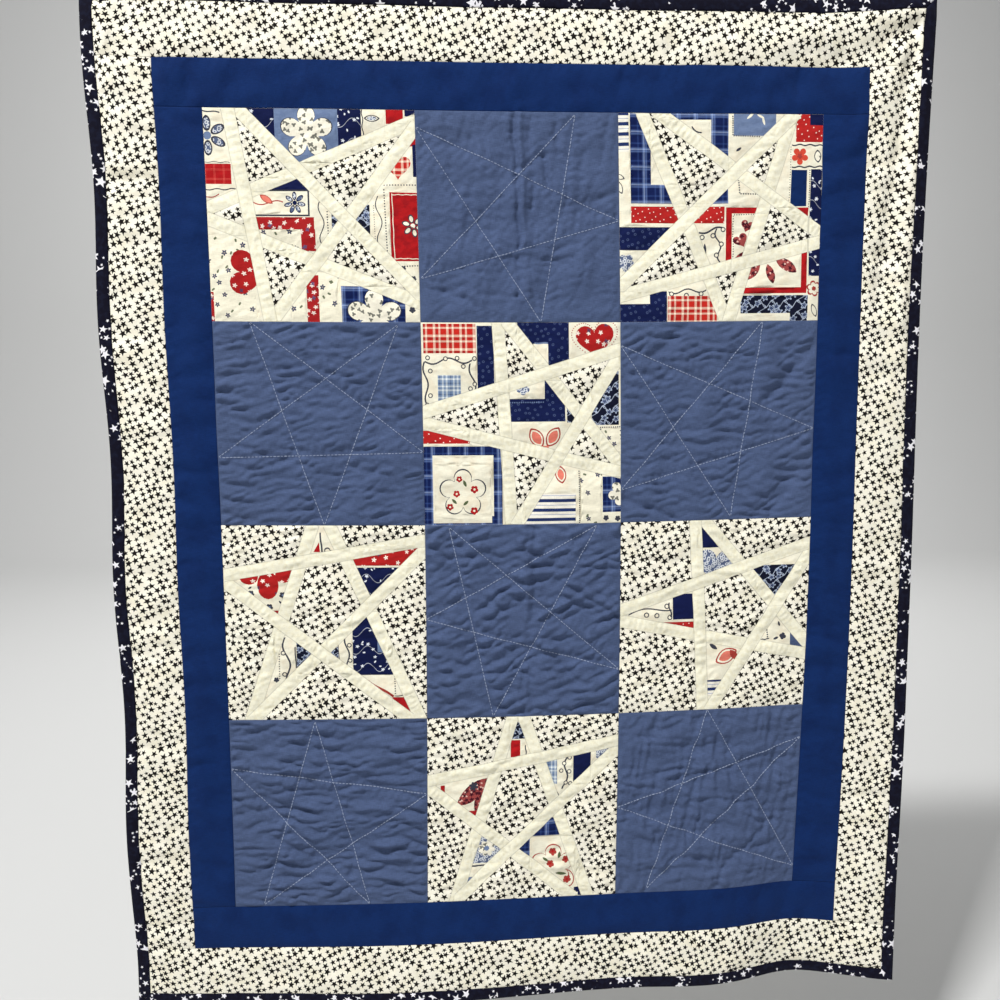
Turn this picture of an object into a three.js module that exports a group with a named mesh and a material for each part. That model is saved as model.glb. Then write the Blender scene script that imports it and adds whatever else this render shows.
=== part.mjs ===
// Star quilt blanket, hanging from the two top corners that a person would hold.
//
// Millimetres, +Z up. The cloth hangs in the plane y = 0 with its patchwork face
// towards -Y, and the middle of its top edge is the origin. "s" is a distance
// across the flat cloth from its centre line, "t" a distance down from its top edge.
//
// The quilt is 24 pieces of cloth: 12 blocks of 9 inches in 4 rows of 3, an inner
// border, an outer border and a binding, each border being four strips. Each piece
// is one closed sheet. Its front and back are triangulated here, so that the sewn
// lines lie low and the padding between them stands up.
import * as THREE from "three";

const BLOCK = 228.6; // one block, seam to seam
const COLUMNS = 3;
const ROWS = 4;
const INNER = 50.8; // width of the inner border
const OUTER = 57.15; // width of the outer border that shows
const BINDING = 14; // width of the binding on the face
const GAP = 0.3; // between neighbouring pieces
const STEP = 25.4; // between points on a piece's edge
const STRIP = 14.6; // width of the strips that draw a star
const LOW = 1.1; // half the thickness at a sewn line
const FRONT_PUFF = 1.3; // how far the padding stands up on the face
const BACK_PUFF = 0.7; // and on the back

const GRID_W = BLOCK * COLUMNS;
const GRID_H = BLOCK * ROWS;
const WIDTH = GRID_W + 2 * (INNER + OUTER + BINDING);
const HEIGHT = GRID_H + 2 * (INNER + OUTER + BINDING);
const TOP = INNER + OUTER + BINDING; // from the top edge to the first block

// The ridges and valleys of the hanging cloth. Each runs between two points of the
// flat cloth; "half" is its half width and "near" how far it comes forward, at its
// first and last point. A valley has a minus sign.
const FOLDS = [
  { name: "hem swell on the left", from: [-150, 985], to: [-150, 1165], half: [170, 190], near: [0, 13] },
  { name: "hem swell on the right", from: [215, 1000], to: [225, 1165], half: [62, 66], near: [0, 7] },
  { name: "valley right of the last block", from: [318, 720], to: [345, 1165], half: [40, 52], near: [0, -12] },
  { name: "flare of the lower right corner", from: [470, 760], to: [478, 1170], half: [50, 62], near: [1, 17] },
  { name: "flare of the lower left corner", from: [-470, 1040], to: [-470, 1165], half: [40, 46], near: [0, -4] },
  { name: "pull from the right grip, long", from: [446, 14], to: [206, 62], half: [7, 20], near: [3.5, 1.6] },
  { name: "pull from the right grip, short", from: [440, 34], to: [318, 84], half: [6, 15], near: [-3, -1.4] },
  { name: "pull from the right grip, steep", from: [442, 40], to: [352, 196], half: [6, 16], near: [3, 1.2] },
  { name: "gutter down the right border", from: [444, 30], to: [414, 300], half: [7, 12], near: [-4.5, -1.8] },
  { name: "ridge down the right edge", from: [455, 24], to: [440, 330], half: [7, 12], near: [3.5, 2] },
  { name: "pull from the left grip", from: [-448, 8], to: [-396, 74], half: [6, 11], near: [-4, -2] },
  { name: "pull from the left grip, long", from: [-446, 26], to: [-420, 170], half: [8, 12], near: [3, 1] },
  { name: "crease in the left border, upper", from: [-458, 590], to: [-402, 596], half: [5, 7], near: [-2.2, -1] },
  { name: "crease in the left border, middle", from: [-458, 728], to: [-398, 716], half: [6, 8], near: [-2.8, -1] },
  { name: "crease in the left border, low", from: [-456, 842], to: [-402, 836], half: [6, 7], near: [-2.4, -1] },
  { name: "crease in the left border, lowest", from: [-452, 982], to: [-398, 972], half: [7, 8], near: [-3, -1.2] },
  { name: "crease across the corner", from: [-450, 1062], to: [-380, 1052], half: [7, 8], near: [-2.6, -1] },
  { name: "fold mark of storage, upper", from: [2, 118], to: [8, 350], half: [5, 5], near: [1.4, 1.4] },
  { name: "fold mark of storage, lower", from: [4, 590], to: [-2, 815], half: [5, 5], near: [1.6, 1.2] },
  { name: "wave across the middle", from: [-340, 470], to: [330, 500], half: [60, 60], near: [2.4, -2] },
  { name: "hollow below the left grip", from: [-330, 150], to: [-250, 430], half: [70, 90], near: [-2.5, -1] },
];

// The cloth is handmade and soft, so no seam is straight. A straight edge laid between a
// seam's ends shows how far it bows or sags, in mm.
const UPRIGHT = [ // to the right of the even grid: at the top, between the ends, at the foot
  { top: 0, bow: 2, foot: 0 },
  { top: 0, bow: 4, foot: 0 },
  { top: -4, bow: 5, foot: 0 },
  { top: 0, bow: 3, foot: -4 },
];
const SAG = [1, 2, 4, 5, 3]; // of the level seams, from the top down
const RISE = 2; // how far the middle rows ride up

const clamp = (x, low, high) => Math.min(high, Math.max(low, x));
const ease = (x) => x * x * (3 - 2 * x);
const mix = (a, b, k) => a + (b - a) * k;

function forward(s, t) {
  let near = 0;
  for (const fold of FOLDS) {
    const ds = fold.to[0] - fold.from[0];
    const dt = fold.to[1] - fold.from[1];
    const along = ((s - fold.from[0]) * ds + (t - fold.from[1]) * dt) / (ds * ds + dt * dt);
    const k = clamp(along, 0, 1);
    const off = Math.hypot(s - fold.from[0] - k * ds, t - fold.from[1] - k * dt);
    const half = mix(fold.half[0], fold.half[1], k);
    near += mix(fold.near[0], fold.near[1], k) * Math.exp(-((off / half) ** 2));
  }
  return near;
}

// A value between the neighbours in a list, k being 0 at its start and 1 at its end.
function alongList(values, k) {
  const place = clamp(k * (values.length - 1), 0, values.length - 1 - 1e-9);
  const i = Math.floor(place);
  return mix(values[i], values[i + 1], ease(place - i));
}

// How far the unstraight seams carry a point across and up.
function shift(s, t) {
  const c = clamp((s + GRID_W / 2) / GRID_W, 0, 1);
  const r = clamp((t - TOP) / GRID_H, 0, 1);
  const arch = Math.sin(Math.PI * r);
  const across = alongList(UPRIGHT.map(({ top, bow, foot }) => mix(top, foot, r) + bow * arch), c);
  return [across, RISE * arch - alongList(SAG, r) * Math.sin(Math.PI * c)];
}

// Where a point of the flat cloth hangs. "lift" is its distance in front of the
// middle of the cloth's thickness.
function hang(s, t, lift) {
  let [across, up] = shift(s, t);
  const side = clamp((Math.abs(s) - GRID_W / 2) / (TOP), 0, 1);
  // The sides wave in and out where the borders are gathered by the quilting.
  if (s < 0) across += side * (0.5 - 2.4 * Math.cos((2 * Math.PI * (t - 650)) / 297));
  if (s > 0) across += side * (2.2 + 2.6 * Math.sin((2 * Math.PI * (t - 560)) / 900));
  // The right hand lifts its corner.
  up += 6 * Math.exp(-((s - 464) ** 2 + t ** 2) / 5200);
  // The hem hangs a little lower in the middle.
  up -= 3 * ease(clamp((t - 1036) / 122, 0, 1)) * (1 - clamp(Math.abs(s + 60) / 420, 0, 1));
  return new THREE.Vector3(s + across, -forward(s, t) - lift, -t + up);
}

// The five strips of each star as they lie in a block, and the five quilted lines of
// each plain block. Each is [x, y, x, y] in thousandths of the block, from its upper
// left corner: a line's two ends.
function star(a, b, c, d, e) {
  return [[...a, ...c], [...c, ...e], [...e, ...b], [...b, ...d], [...d, ...a]];
}

const BLOCKS = [
  { pieced: true, lines: [[161, 0, 1000, 864], [0, 513, 1000, 906], [0, 467, 1000, 50], [1000, 78, 283, 1000], [117, 0, 278, 1000]] },
  { pieced: false, lines: star([0, 76], [788, 10], [1000, 510], [600, 1000], [5, 790]) },
  { pieced: true, lines: [[198, 0, 1000, 572], [1000, 613, 0, 872], [0, 828, 858, 0], [847, 0, 544, 1000], [117, 0, 533, 1000]] },
  { pieced: false, lines: star([176, 0], [890, 10], [1000, 635], [503, 1000], [0, 664]) },
  { pieced: true, lines: [[430, 0, 1000, 711], [0, 489, 1000, 744], [0, 439, 1000, 133], [1000, 156, 467, 1000], [383, 0, 439, 1000]] },
  { pieced: false, lines: star([0, 114], [720, 0], [1000, 543], [574, 985], [0, 835]) },
  { pieced: true, lines: [[528, 0, 967, 1000], [0, 283, 911, 1000], [0, 253, 1000, 76], [1000, 122, 122, 1000], [444, 0, 111, 1000]] },
  { pieced: false, lines: star([120, 10], [878, 10], [1000, 766], [342, 995], [0, 482]) },
  { pieced: true, lines: [[436, 0, 1000, 658], [0, 511, 1000, 722], [0, 456, 1000, 133], [1000, 183, 489, 1000], [389, 0, 450, 1000]] },
  { pieced: false, lines: star([430, 10], [1000, 406], [697, 1000], [149, 990], [0, 256]) },
  { pieced: true, lines: [[500, 0, 850, 1000], [0, 372, 767, 1000], [0, 339, 1000, 144], [1000, 183, 167, 983], [444, 0, 144, 1000]] },
  { pieced: false, lines: star([477, 0], [1000, 178], [1000, 911], [167, 980], [0, 516]) },
];

function fromLine(line, x, y) {
  const [ax, ay, bx, by] = line;
  const long = Math.hypot(bx - ax, by - ay);
  const k = clamp(((x - ax) * (bx - ax) + (y - ay) * (by - ay)) / long ** 2, 0, 1);
  return Math.hypot(x - ax - k * (bx - ax), y - ay - k * (by - ay));
}

// How much of the full puff a point of a piece has: 0 on a sewn line, near 1 well
// away from every one. A strip of a star is a low puff between its two seams.
function puff(piece, s, t) {
  const edge = Math.min(s - piece.s0, piece.s1 - s, t - piece.t0, piece.t1 - t);
  const x = s - piece.s0;
  const y = t - piece.t0;
  let sewn = Math.max(0, edge);
  let strip = 0;
  for (const line of piece.lines) {
    const off = fromLine(line, x, y);
    if (!piece.pieced) sewn = Math.min(sewn, off);
    if (piece.pieced) {
      sewn = Math.min(sewn, Math.abs(off - STRIP / 2));
      if (off < STRIP / 2) strip = 1;
    }
  }
  const rise = 1 - Math.exp(-((sewn / 7) ** 1.3));
  return strip ? 0.55 * Math.min(1, rise * 1.6) : rise;
}

function crossing(a, b) {
  const d = (a[2] - a[0]) * (b[3] - b[1]) - (a[3] - a[1]) * (b[2] - b[0]);
  if (Math.abs(d) < 1e-6) return null;
  const k = ((b[0] - a[0]) * (b[3] - b[1]) - (b[1] - a[1]) * (b[2] - b[0])) / d;
  return [a[0] + k * (a[2] - a[0]), a[1] + k * (a[3] - a[1])];
}

// Delaunay triangles of flat points, by adding one point at a time.
function triangulate(points) {
  const big = 1e5;
  const all = [...points, [-big, -big], [big, -big], [0, big]];
  const n = points.length;
  let faces = [circle(all, n, n + 1, n + 2)];
  for (let i = 0; i < n; i++) {
    const open = [];
    const kept = [];
    for (const f of faces) {
      const d = (all[i][0] - f.x) ** 2 + (all[i][1] - f.y) ** 2;
      if (d < f.r2 - 1e-9) open.push([f.a, f.b], [f.b, f.c], [f.c, f.a]);
      else kept.push(f);
    }
    const rim = new Map();
    for (const [a, b] of open) {
      const back = `${b},${a}`;
      if (rim.has(back)) rim.delete(back);
      else rim.set(`${a},${b}`, [a, b]);
    }
    for (const [a, b] of rim.values()) kept.push(circle(all, a, b, i));
    faces = kept;
  }
  return faces.filter((f) => Math.max(f.a, f.b, f.c) < n).map((f) => [f.a, f.b, f.c]);
}

function circle(all, a, b, c) {
  const [ax, ay] = all[a];
  const [bx, by] = all[b];
  const [cx, cy] = all[c];
  const d = 2 * (ax * (by - cy) + bx * (cy - ay) + cx * (ay - by));
  const x = ((ax * ax + ay * ay) * (by - cy) + (bx * bx + by * by) * (cy - ay) + (cx * cx + cy * cy) * (ay - by)) / d;
  const y = ((ax * ax + ay * ay) * (cx - bx) + (bx * bx + by * by) * (ax - cx) + (cx * cx + cy * cy) * (bx - ax)) / d;
  return { a, b, c, x, y, r2: (ax - x) ** 2 + (ay - y) ** 2 };
}

// The outline of a piece, as flat points in order round it. A piece is a four-sided
// shape; the mitred binding has slanting ends.
function outline(corners) {
  const rim = [];
  for (let i = 0; i < 4; i++) {
    const [a, b] = [corners[i], corners[(i + 1) % 4]];
    const long = Math.hypot(b[0] - a[0], b[1] - a[1]);
    const parts = Math.max(1, Math.round(long / STEP));
    for (let k = 0; k < parts; k++) rim.push([mix(a[0], b[0], k / parts), mix(a[1], b[1], k / parts)]);
  }
  return rim;
}

function keepApart(points, candidate, apart) {
  if (points.every((p) => Math.hypot(p[0] - candidate[0], p[1] - candidate[1]) > apart)) points.push(candidate);
}

// The points inside a block's face: along its sewn lines, where they cross, and on
// the padding between.
function blockPoints(piece, rim) {
  const points = [...rim];
  const w = piece.s1 - piece.s0;
  const inside = (x, y, rest) => x > rest && y > rest && x < w - rest && y < w - rest;
  const sewn = [];
  for (const line of piece.lines) {
    const long = Math.hypot(line[2] - line[0], line[3] - line[1]);
    const nx = -(line[3] - line[1]) / long;
    const ny = (line[2] - line[0]) / long;
    for (const off of piece.pieced ? [-STRIP / 2, STRIP / 2] : [0]) {
      sewn.push([line[0] + nx * off, line[1] + ny * off, line[2] + nx * off, line[3] + ny * off]);
    }
  }
  for (let i = 0; i < sewn.length; i++) {
    for (let j = i + 1; j < sewn.length; j++) {
      const p = crossing(sewn[i], sewn[j]);
      if (p && inside(p[0], p[1], 5)) keepApart(points, [piece.s0 + p[0], piece.t0 + p[1]], 5);
    }
  }
  for (const line of sewn) {
    const parts = Math.round(Math.hypot(line[2] - line[0], line[3] - line[1]) / 15);
    for (let k = 1; k < parts; k++) {
      const x = mix(line[0], line[2], k / parts);
      const y = mix(line[1], line[3], k / parts);
      if (inside(x, y, 5)) keepApart(points, [piece.s0 + x, piece.t0 + y], 7);
    }
  }
  const pitch = 18;
  for (let row = 0; row * pitch * 0.87 < w; row++) {
    for (let column = 0; column * pitch < w; column++) {
      const x = (column + 0.5 * (row % 2)) * pitch;
      const y = row * pitch * 0.87;
      if (inside(x, y, 8)) keepApart(points, [piece.s0 + x, piece.t0 + y], 9.5);
    }
  }
  return points;
}

// The points inside a strip's face: one or two rows along it.
function stripPoints(piece, rim, rows) {
  const points = [...rim];
  const w = piece.s1 - piece.s0;
  const h = piece.t1 - piece.t0;
  const tall = h > w;
  const long = Math.max(w, h);
  const wide = Math.min(w, h);
  const parts = Math.round(long / STEP);
  for (let k = 0; k < parts; k++) {
    for (let r = 0; r < rows; r++) {
      const along = ((k + 0.5) * long) / parts;
      const across = ((r + 0.5) * wide) / rows;
      const p = tall ? [piece.s0 + across, piece.t0 + along] : [piece.s0 + along, piece.t0 + across];
      if (within(piece.corners, p, 4)) points.push(p);
    }
  }
  return points;
}

function within(corners, p, rest) {
  return corners.every((a, i) => {
    const b = corners[(i + 1) % 4];
    const long = Math.hypot(b[0] - a[0], b[1] - a[1]);
    return ((b[0] - a[0]) * (p[1] - a[1]) - (b[1] - a[1]) * (p[0] - a[0])) / long > rest;
  });
}

// A closed sheet from its outline and the flat points of its face and back.
function sheet(name, piece, faceInside, backInside) {
  const rim = outline(piece.corners);
  const face = faceInside(rim);
  const back = backInside(rim);
  const depth = (p, onRim, side) => {
    const raise = onRim ? 0 : puff(piece, p[0], p[1]);
    return side > 0 ? piece.low + raise * piece.front : -(piece.low + raise * piece.back);
  };
  const position = [];
  const push = (list, side) => list.forEach((p, i) => {
    const v = hang(p[0], p[1], depth(p, i < rim.length, side));
    position.push(v.x, v.y, v.z);
  });
  push(face, 1);
  push(back, -1);
  const index = [];
  const turn = (list, [a, b, c]) => {
    const area = (list[b][0] - list[a][0]) * (list[c][1] - list[a][1]) - (list[b][1] - list[a][1]) * (list[c][0] - list[a][0]);
    return area > 0 ? [a, b, c] : [a, c, b];
  };
  // Seen from -Y with t running down, a face turned this way looks forward.
  for (const f of triangulate(face)) {
    const [a, b, c] = turn(face, f);
    index.push(a, c, b);
  }
  for (const f of triangulate(back)) {
    const [a, b, c] = turn(back, f);
    index.push(face.length + a, face.length + b, face.length + c);
  }
  const n = rim.length;
  for (let i = 0; i < n; i++) {
    const j = (i + 1) % n;
    index.push(i, j, face.length + j, i, face.length + j, face.length + i);
  }
  const geometry = new THREE.BufferGeometry();
  geometry.setAttribute("position", new THREE.Float32BufferAttribute(position, 3));
  geometry.setIndex(index);
  const mesh = new THREE.Mesh(geometry, new THREE.MeshStandardMaterial({ color: piece.colour }));
  mesh.name = name;
  return mesh;
}

function rectangle(s0, t0, s1, t1) {
  return [[s0, t0], [s1, t0], [s1, t1], [s0, t1]];
}

function build() {
  const quilt = new THREE.Group();
  quilt.name = "star_quilt";
  const half = GAP / 2;

  let stars = 0;
  let plains = 0;
  BLOCKS.forEach(({ pieced, lines }, i) => {
    const s = -GRID_W / 2 + BLOCK * (i % COLUMNS) + half;
    const t = TOP + BLOCK * Math.floor(i / COLUMNS) + half;
    const size = BLOCK - GAP;
    const piece = {
      s0: s, t0: t, s1: s + size, t1: t + size,
      corners: rectangle(s, t, s + size, t + size),
      pieced,
      lines: lines.map((line) => line.map((v) => (v * size) / 1000)),
      low: LOW, front: FRONT_PUFF, back: BACK_PUFF,
      colour: pieced ? 0xf2ead0 : 0x5a6c98,
    };
    const name = pieced ? `star_block_${++stars}` : `plain_block_${++plains}`;
    quilt.add(sheet(name, piece, (rim) => blockPoints(piece, rim), (rim) => {
      const points = [...rim];
      for (let r = 0; r < 5; r++) {
        for (let c = 0; c < 5; c++) points.push([s + ((c + 0.5) * size) / 5, t + ((r + 0.5) * size) / 5]);
      }
      return points;
    }));
  });

  // A frame of four strips. The top and bottom ones run the full width, and the side
  // ones butt against them.
  const frame = (name, inside, width, colour, rows) => {
    const s = GRID_W / 2 + inside;
    const t = TOP - inside;
    const b = HEIGHT - t;
    const sides = {
      top: [-s - width + half, t - width + half, s + width - half, t - half],
      bottom: [-s - width + half, b + half, s + width - half, b + width - half],
      left: [-s - width + half, t + half, -s - half, b - half],
      right: [s + half, t + half, s + width - half, b - half],
    };
    for (const [side, box] of Object.entries(sides)) {
      const [s0, t0, s1, t1] = box;
      const piece = {
        s0, t0, s1, t1, corners: rectangle(...box), pieced: false, lines: [],
        low: LOW, front: FRONT_PUFF, back: BACK_PUFF, colour,
      };
      quilt.add(sheet(`${name}_${side}`, piece, (rim) => stripPoints(piece, rim, rows), (rim) => stripPoints(piece, rim, 1)));
    }
  };
  frame("inner_border", 0, INNER, 0x1d3470, 2);
  frame("outer_border", INNER, OUTER, 0xf5f2e4, 2);

  // The binding: four folded strips over the raw edge, mitred where they meet.
  const s = WIDTH / 2;
  const inner = BINDING - half;
  const cut = half * Math.SQRT2;
  const h = HEIGHT;
  const mitred = {
    top: [[-s + cut, 0], [s - cut, 0], [s - inner - cut, inner], [-s + inner + cut, inner]],
    bottom: [[-s + inner + cut, h - inner], [s - inner - cut, h - inner], [s - cut, h], [-s + cut, h]],
    left: [[-s, cut], [-s + inner, inner + cut], [-s + inner, h - inner - cut], [-s, h - cut]],
    right: [[s - inner, inner + cut], [s, cut], [s, h - cut], [s - inner, h - inner - cut]],
  };
  for (const [side, corners] of Object.entries(mitred)) {
    const s0 = Math.min(...corners.map((p) => p[0]));
    const s1 = Math.max(...corners.map((p) => p[0]));
    const t0 = Math.min(...corners.map((p) => p[1]));
    const t1 = Math.max(...corners.map((p) => p[1]));
    const piece = { s0, s1, t0, t1, corners, pieced: false, lines: [], low: 1.5, front: 1, back: 0.8, colour: 0x15182c };
    quilt.add(sheet(`binding_${side}`, piece, (rim) => stripPoints(piece, rim, 1), (rim) => stripPoints(piece, rim, 1)));
  }
  return quilt;
}

export default build();
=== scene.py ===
# %% [markdown]
# # A star quilt blanket, hung from its top corners
#
# A quilt is flat patchwork, thin padding and a back, sewn through so that the padding
# stands up between the stitches. This lesson dresses the plain solids of one such
# quilt. Each solid is replaced by a finely shaped sheet of cloth with its prints, and
# the running stitches are laid on top.
#
# The first cell loads the frame of solids. Everything later is in metres, in the same
# place as those solids.

import math

import bpy
import numpy as np
from mathutils import Matrix, Vector
from mathutils.geometry import delaunay_2d_cdt


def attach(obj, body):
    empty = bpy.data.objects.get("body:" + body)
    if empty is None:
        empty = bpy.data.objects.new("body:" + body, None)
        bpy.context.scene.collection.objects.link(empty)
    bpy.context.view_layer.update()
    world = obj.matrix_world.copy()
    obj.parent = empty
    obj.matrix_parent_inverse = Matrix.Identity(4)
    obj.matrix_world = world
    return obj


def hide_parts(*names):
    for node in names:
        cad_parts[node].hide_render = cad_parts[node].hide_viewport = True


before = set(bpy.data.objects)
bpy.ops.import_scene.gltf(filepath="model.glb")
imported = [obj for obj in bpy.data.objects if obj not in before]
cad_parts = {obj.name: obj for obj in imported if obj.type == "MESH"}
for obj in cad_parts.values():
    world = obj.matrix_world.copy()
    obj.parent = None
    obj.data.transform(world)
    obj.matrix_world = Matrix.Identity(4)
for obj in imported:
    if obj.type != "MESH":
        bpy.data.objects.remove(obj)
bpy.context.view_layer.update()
print("solids to dress:", len(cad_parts))

# %% [markdown]
# ## How the cloth hangs
#
# All pieces lie on one hanging cloth, so one function says where any point of the flat
# quilt ends up. s runs across the flat quilt from its centre line, t runs down from
# its top edge, both in millimetres. The folds are a short table of ridges and valleys,
# which is easier to tune than a simulation when the folds are this shallow.

# %% Sizes of the flat quilt, in millimetres
BLOCK = 228.6
COLUMNS, ROWS = 3, 4
INNER, OUTER, BINDING = 50.8, 57.15, 14.0
GRID_W, GRID_H = BLOCK * COLUMNS, BLOCK * ROWS
TOP = INNER + OUTER + BINDING
WIDTH, HEIGHT = GRID_W + 2 * TOP, GRID_H + 2 * TOP
STRIP = 14.6
LOW, FRONT_PUFF, BACK_PUFF = 1.1, 1.3, 0.7
print(f"flat quilt: {WIDTH:.1f} by {HEIGHT:.1f} mm")

# %% The folds: from and to on the flat cloth, half width, and how far forward
FOLDS = [
    ("hem swell on the left", (-150, 985), (-150, 1165), (170, 190), (0, 13)),
    ("hem swell on the right", (215, 1000), (225, 1165), (62, 66), (0, 7)),
    ("valley right of the last block", (318, 720), (345, 1165), (40, 52), (0, -12)),
    ("flare of the lower right corner", (470, 760), (478, 1170), (50, 62), (1, 17)),
    ("flare of the lower left corner", (-470, 1040), (-470, 1165), (40, 46), (0, -4)),
    ("pull from the right grip, long", (446, 14), (206, 62), (10, 20), (3.5, 2.6)),
    ("pull from the right grip, short", (440, 34), (318, 84), (9, 15), (-3, -2.4)),
    ("pull from the right grip, steep", (442, 40), (352, 196), (9, 16), (3, 2.2)),
    ("gutter down the right border", (444, 30), (414, 330), (9, 11), (-4.5, -3.2)),
    ("ridge down the right edge", (455, 24), (440, 350), (9, 11), (3.5, 3.0)),
    ("pull from the left grip", (-448, 8), (-396, 74), (6, 11), (-4, -2)),
    ("pull from the left grip, long", (-446, 26), (-420, 170), (8, 12), (3, 1)),
    ("crease in the left border, upper", (-458, 590), (-402, 596), (5, 7), (-2.2, -1)),
    ("crease in the left border, middle", (-458, 728), (-398, 716), (6, 8), (-2.8, -1)),
    ("crease in the left border, low", (-456, 842), (-402, 836), (6, 7), (-2.4, -1)),
    ("crease in the left border, lowest", (-452, 982), (-398, 972), (7, 8), (-3, -1.2)),
    ("crease across the corner", (-450, 1062), (-380, 1052), (7, 8), (-2.6, -1)),
    ("fold mark of storage, upper", (2, 118), (8, 350), (5, 5), (1.4, 1.4)),
    ("fold mark of storage, lower", (4, 590), (-2, 815), (5, 5), (1.6, 1.2)),
    ("wave across the middle", (-340, 470), (330, 500), (60, 60), (2.4, -2)),
    ("hollow below the left grip", (-330, 150), (-250, 430), (70, 90), (-2.5, -1)),
]
print("folds:", len(FOLDS))

# %% How the seams, the sides and the hem run, in millimetres
# No seam is straight. A straight edge laid between a seam's ends shows how far it bows or
# sags. Upright seams: to the right at the top, between the ends, and at the foot.
UPRIGHT = np.array([(0, 2, 0), (0, 4, 0), (-4, 5, 0), (0, 3, -4)], float)
SAG = np.array([1, 2, 4, 5, 3], float)
RISE = 2.0

# The sides wave: how far out, how far to and fro, where a wave starts, and its length.
LEFT_SIDE = (0.5, -2.4, 650, 297)
RIGHT_SIDE = (2.2, 2.6, 560, 900)

# The right grip draws the top edge up: how far, where along it, and its width squared.
GRIP_RISE, GRIP_AT, GRIP_SPREAD = 6, 464, 5200

# The hem sags: how far, from where, over what depth, its lowest place and half its width.
HEM_SAG, HEM_FROM, HEM_DEEP, HEM_AT, HEM_HALF = 3, 1036, 122, -60, 420
print("seams with a bow of their own:", len(UPRIGHT) + len(SAG))


# %% Where a point of the flat cloth hangs
def forward(s, t):
    """How far the folds bring the cloth forwards."""
    near = np.zeros_like(s)
    for _, (s0, t0), (s1, t1), half, lift in FOLDS:
        ds, dt = s1 - s0, t1 - t0
        k = np.clip(((s - s0) * ds + (t - t0) * dt) / (ds * ds + dt * dt), 0, 1)
        off = np.hypot(s - s0 - k * ds, t - t0 - k * dt)
        wide = half[0] + (half[1] - half[0]) * k
        near += (lift[0] + (lift[1] - lift[0]) * k) * np.exp(-((off / wide) ** 2))
    return near


def along_list(values, k):
    """A smooth value between the neighbours in a list, with k from 0 at its start to 1
    at its end. Each entry of the list is one number, or one for every point."""
    place = np.clip(k * (len(values) - 1), 0, len(values) - 1 - 1e-9)
    i = np.floor(place).astype(int)
    values = np.broadcast_to(np.reshape(values, (len(values), -1)), (len(values), len(place)))
    first, last = values[i, np.arange(len(place))], values[i + 1, np.arange(len(place))]
    soft = (place - i) ** 2 * (3 - 2 * (place - i))
    return first + (last - first) * soft


def seam_shift(s, t):
    """How far the unstraight seams carry a point across and up."""
    c = np.clip((s + GRID_W / 2) / GRID_W, 0, 1)
    r = np.clip((t - TOP) / GRID_H, 0, 1)
    arch = np.sin(np.pi * r)
    top, bow, foot = UPRIGHT.T[:, :, None]
    across = along_list(top * (1 - r) + foot * r + bow * arch, c)
    return across, RISE * arch - along_list(SAG, r) * np.sin(np.pi * c)


def hang(s, t, lift):
    """Points in metres. lift is the distance in front of the middle of the cloth."""
    s, t = np.asarray(s, float), np.asarray(t, float)
    across, up = seam_shift(s, t)
    side = np.clip((abs(s) - GRID_W / 2) / TOP, 0, 1)
    out, swing, start, long = LEFT_SIDE
    left = out + swing * np.cos(2 * np.pi * (t - start) / long)
    out, swing, start, long = RIGHT_SIDE
    right = out + swing * np.sin(2 * np.pi * (t - start) / long)
    across = across + side * np.where(s < 0, left, right)
    up = up + GRIP_RISE * np.exp(-((s - GRIP_AT) ** 2 + t**2) / GRIP_SPREAD)
    k = np.clip((t - HEM_FROM) / HEM_DEEP, 0, 1)
    up = up - HEM_SAG * k * k * (3 - 2 * k) * (1 - np.clip(abs(s - HEM_AT) / HEM_HALF, 0, 1))
    return np.column_stack([s + across, -forward(s, t) - lift, up - t]) / 1000


print("lower right corner hangs at", hang([WIDTH / 2], [HEIGHT], 0)[0].round(3))

# %% [markdown]
# ## The sewn lines
#
# Every star is made of five straight lines that cross, as if it was drawn without
# lifting the pencil. On the pieced blocks each line is a cream strip between two
# seams, and on the plain blocks it is a single line of running stitches. No two
# stars are alike. A plain block's star is given by its five tips, and a pieced block's
# by the ten ends of its lines, which run on to the edge. All are thousandths of a block
# from its upper left corner.

# %% The five lines of each block, row by row
def by_tips(a, b, c, d, e):
    """A star's five lines from its five tips, going round clockwise from a."""
    return [(*a, *c), (*c, *e), (*e, *b), (*b, *d), (*d, *a)]


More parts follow.
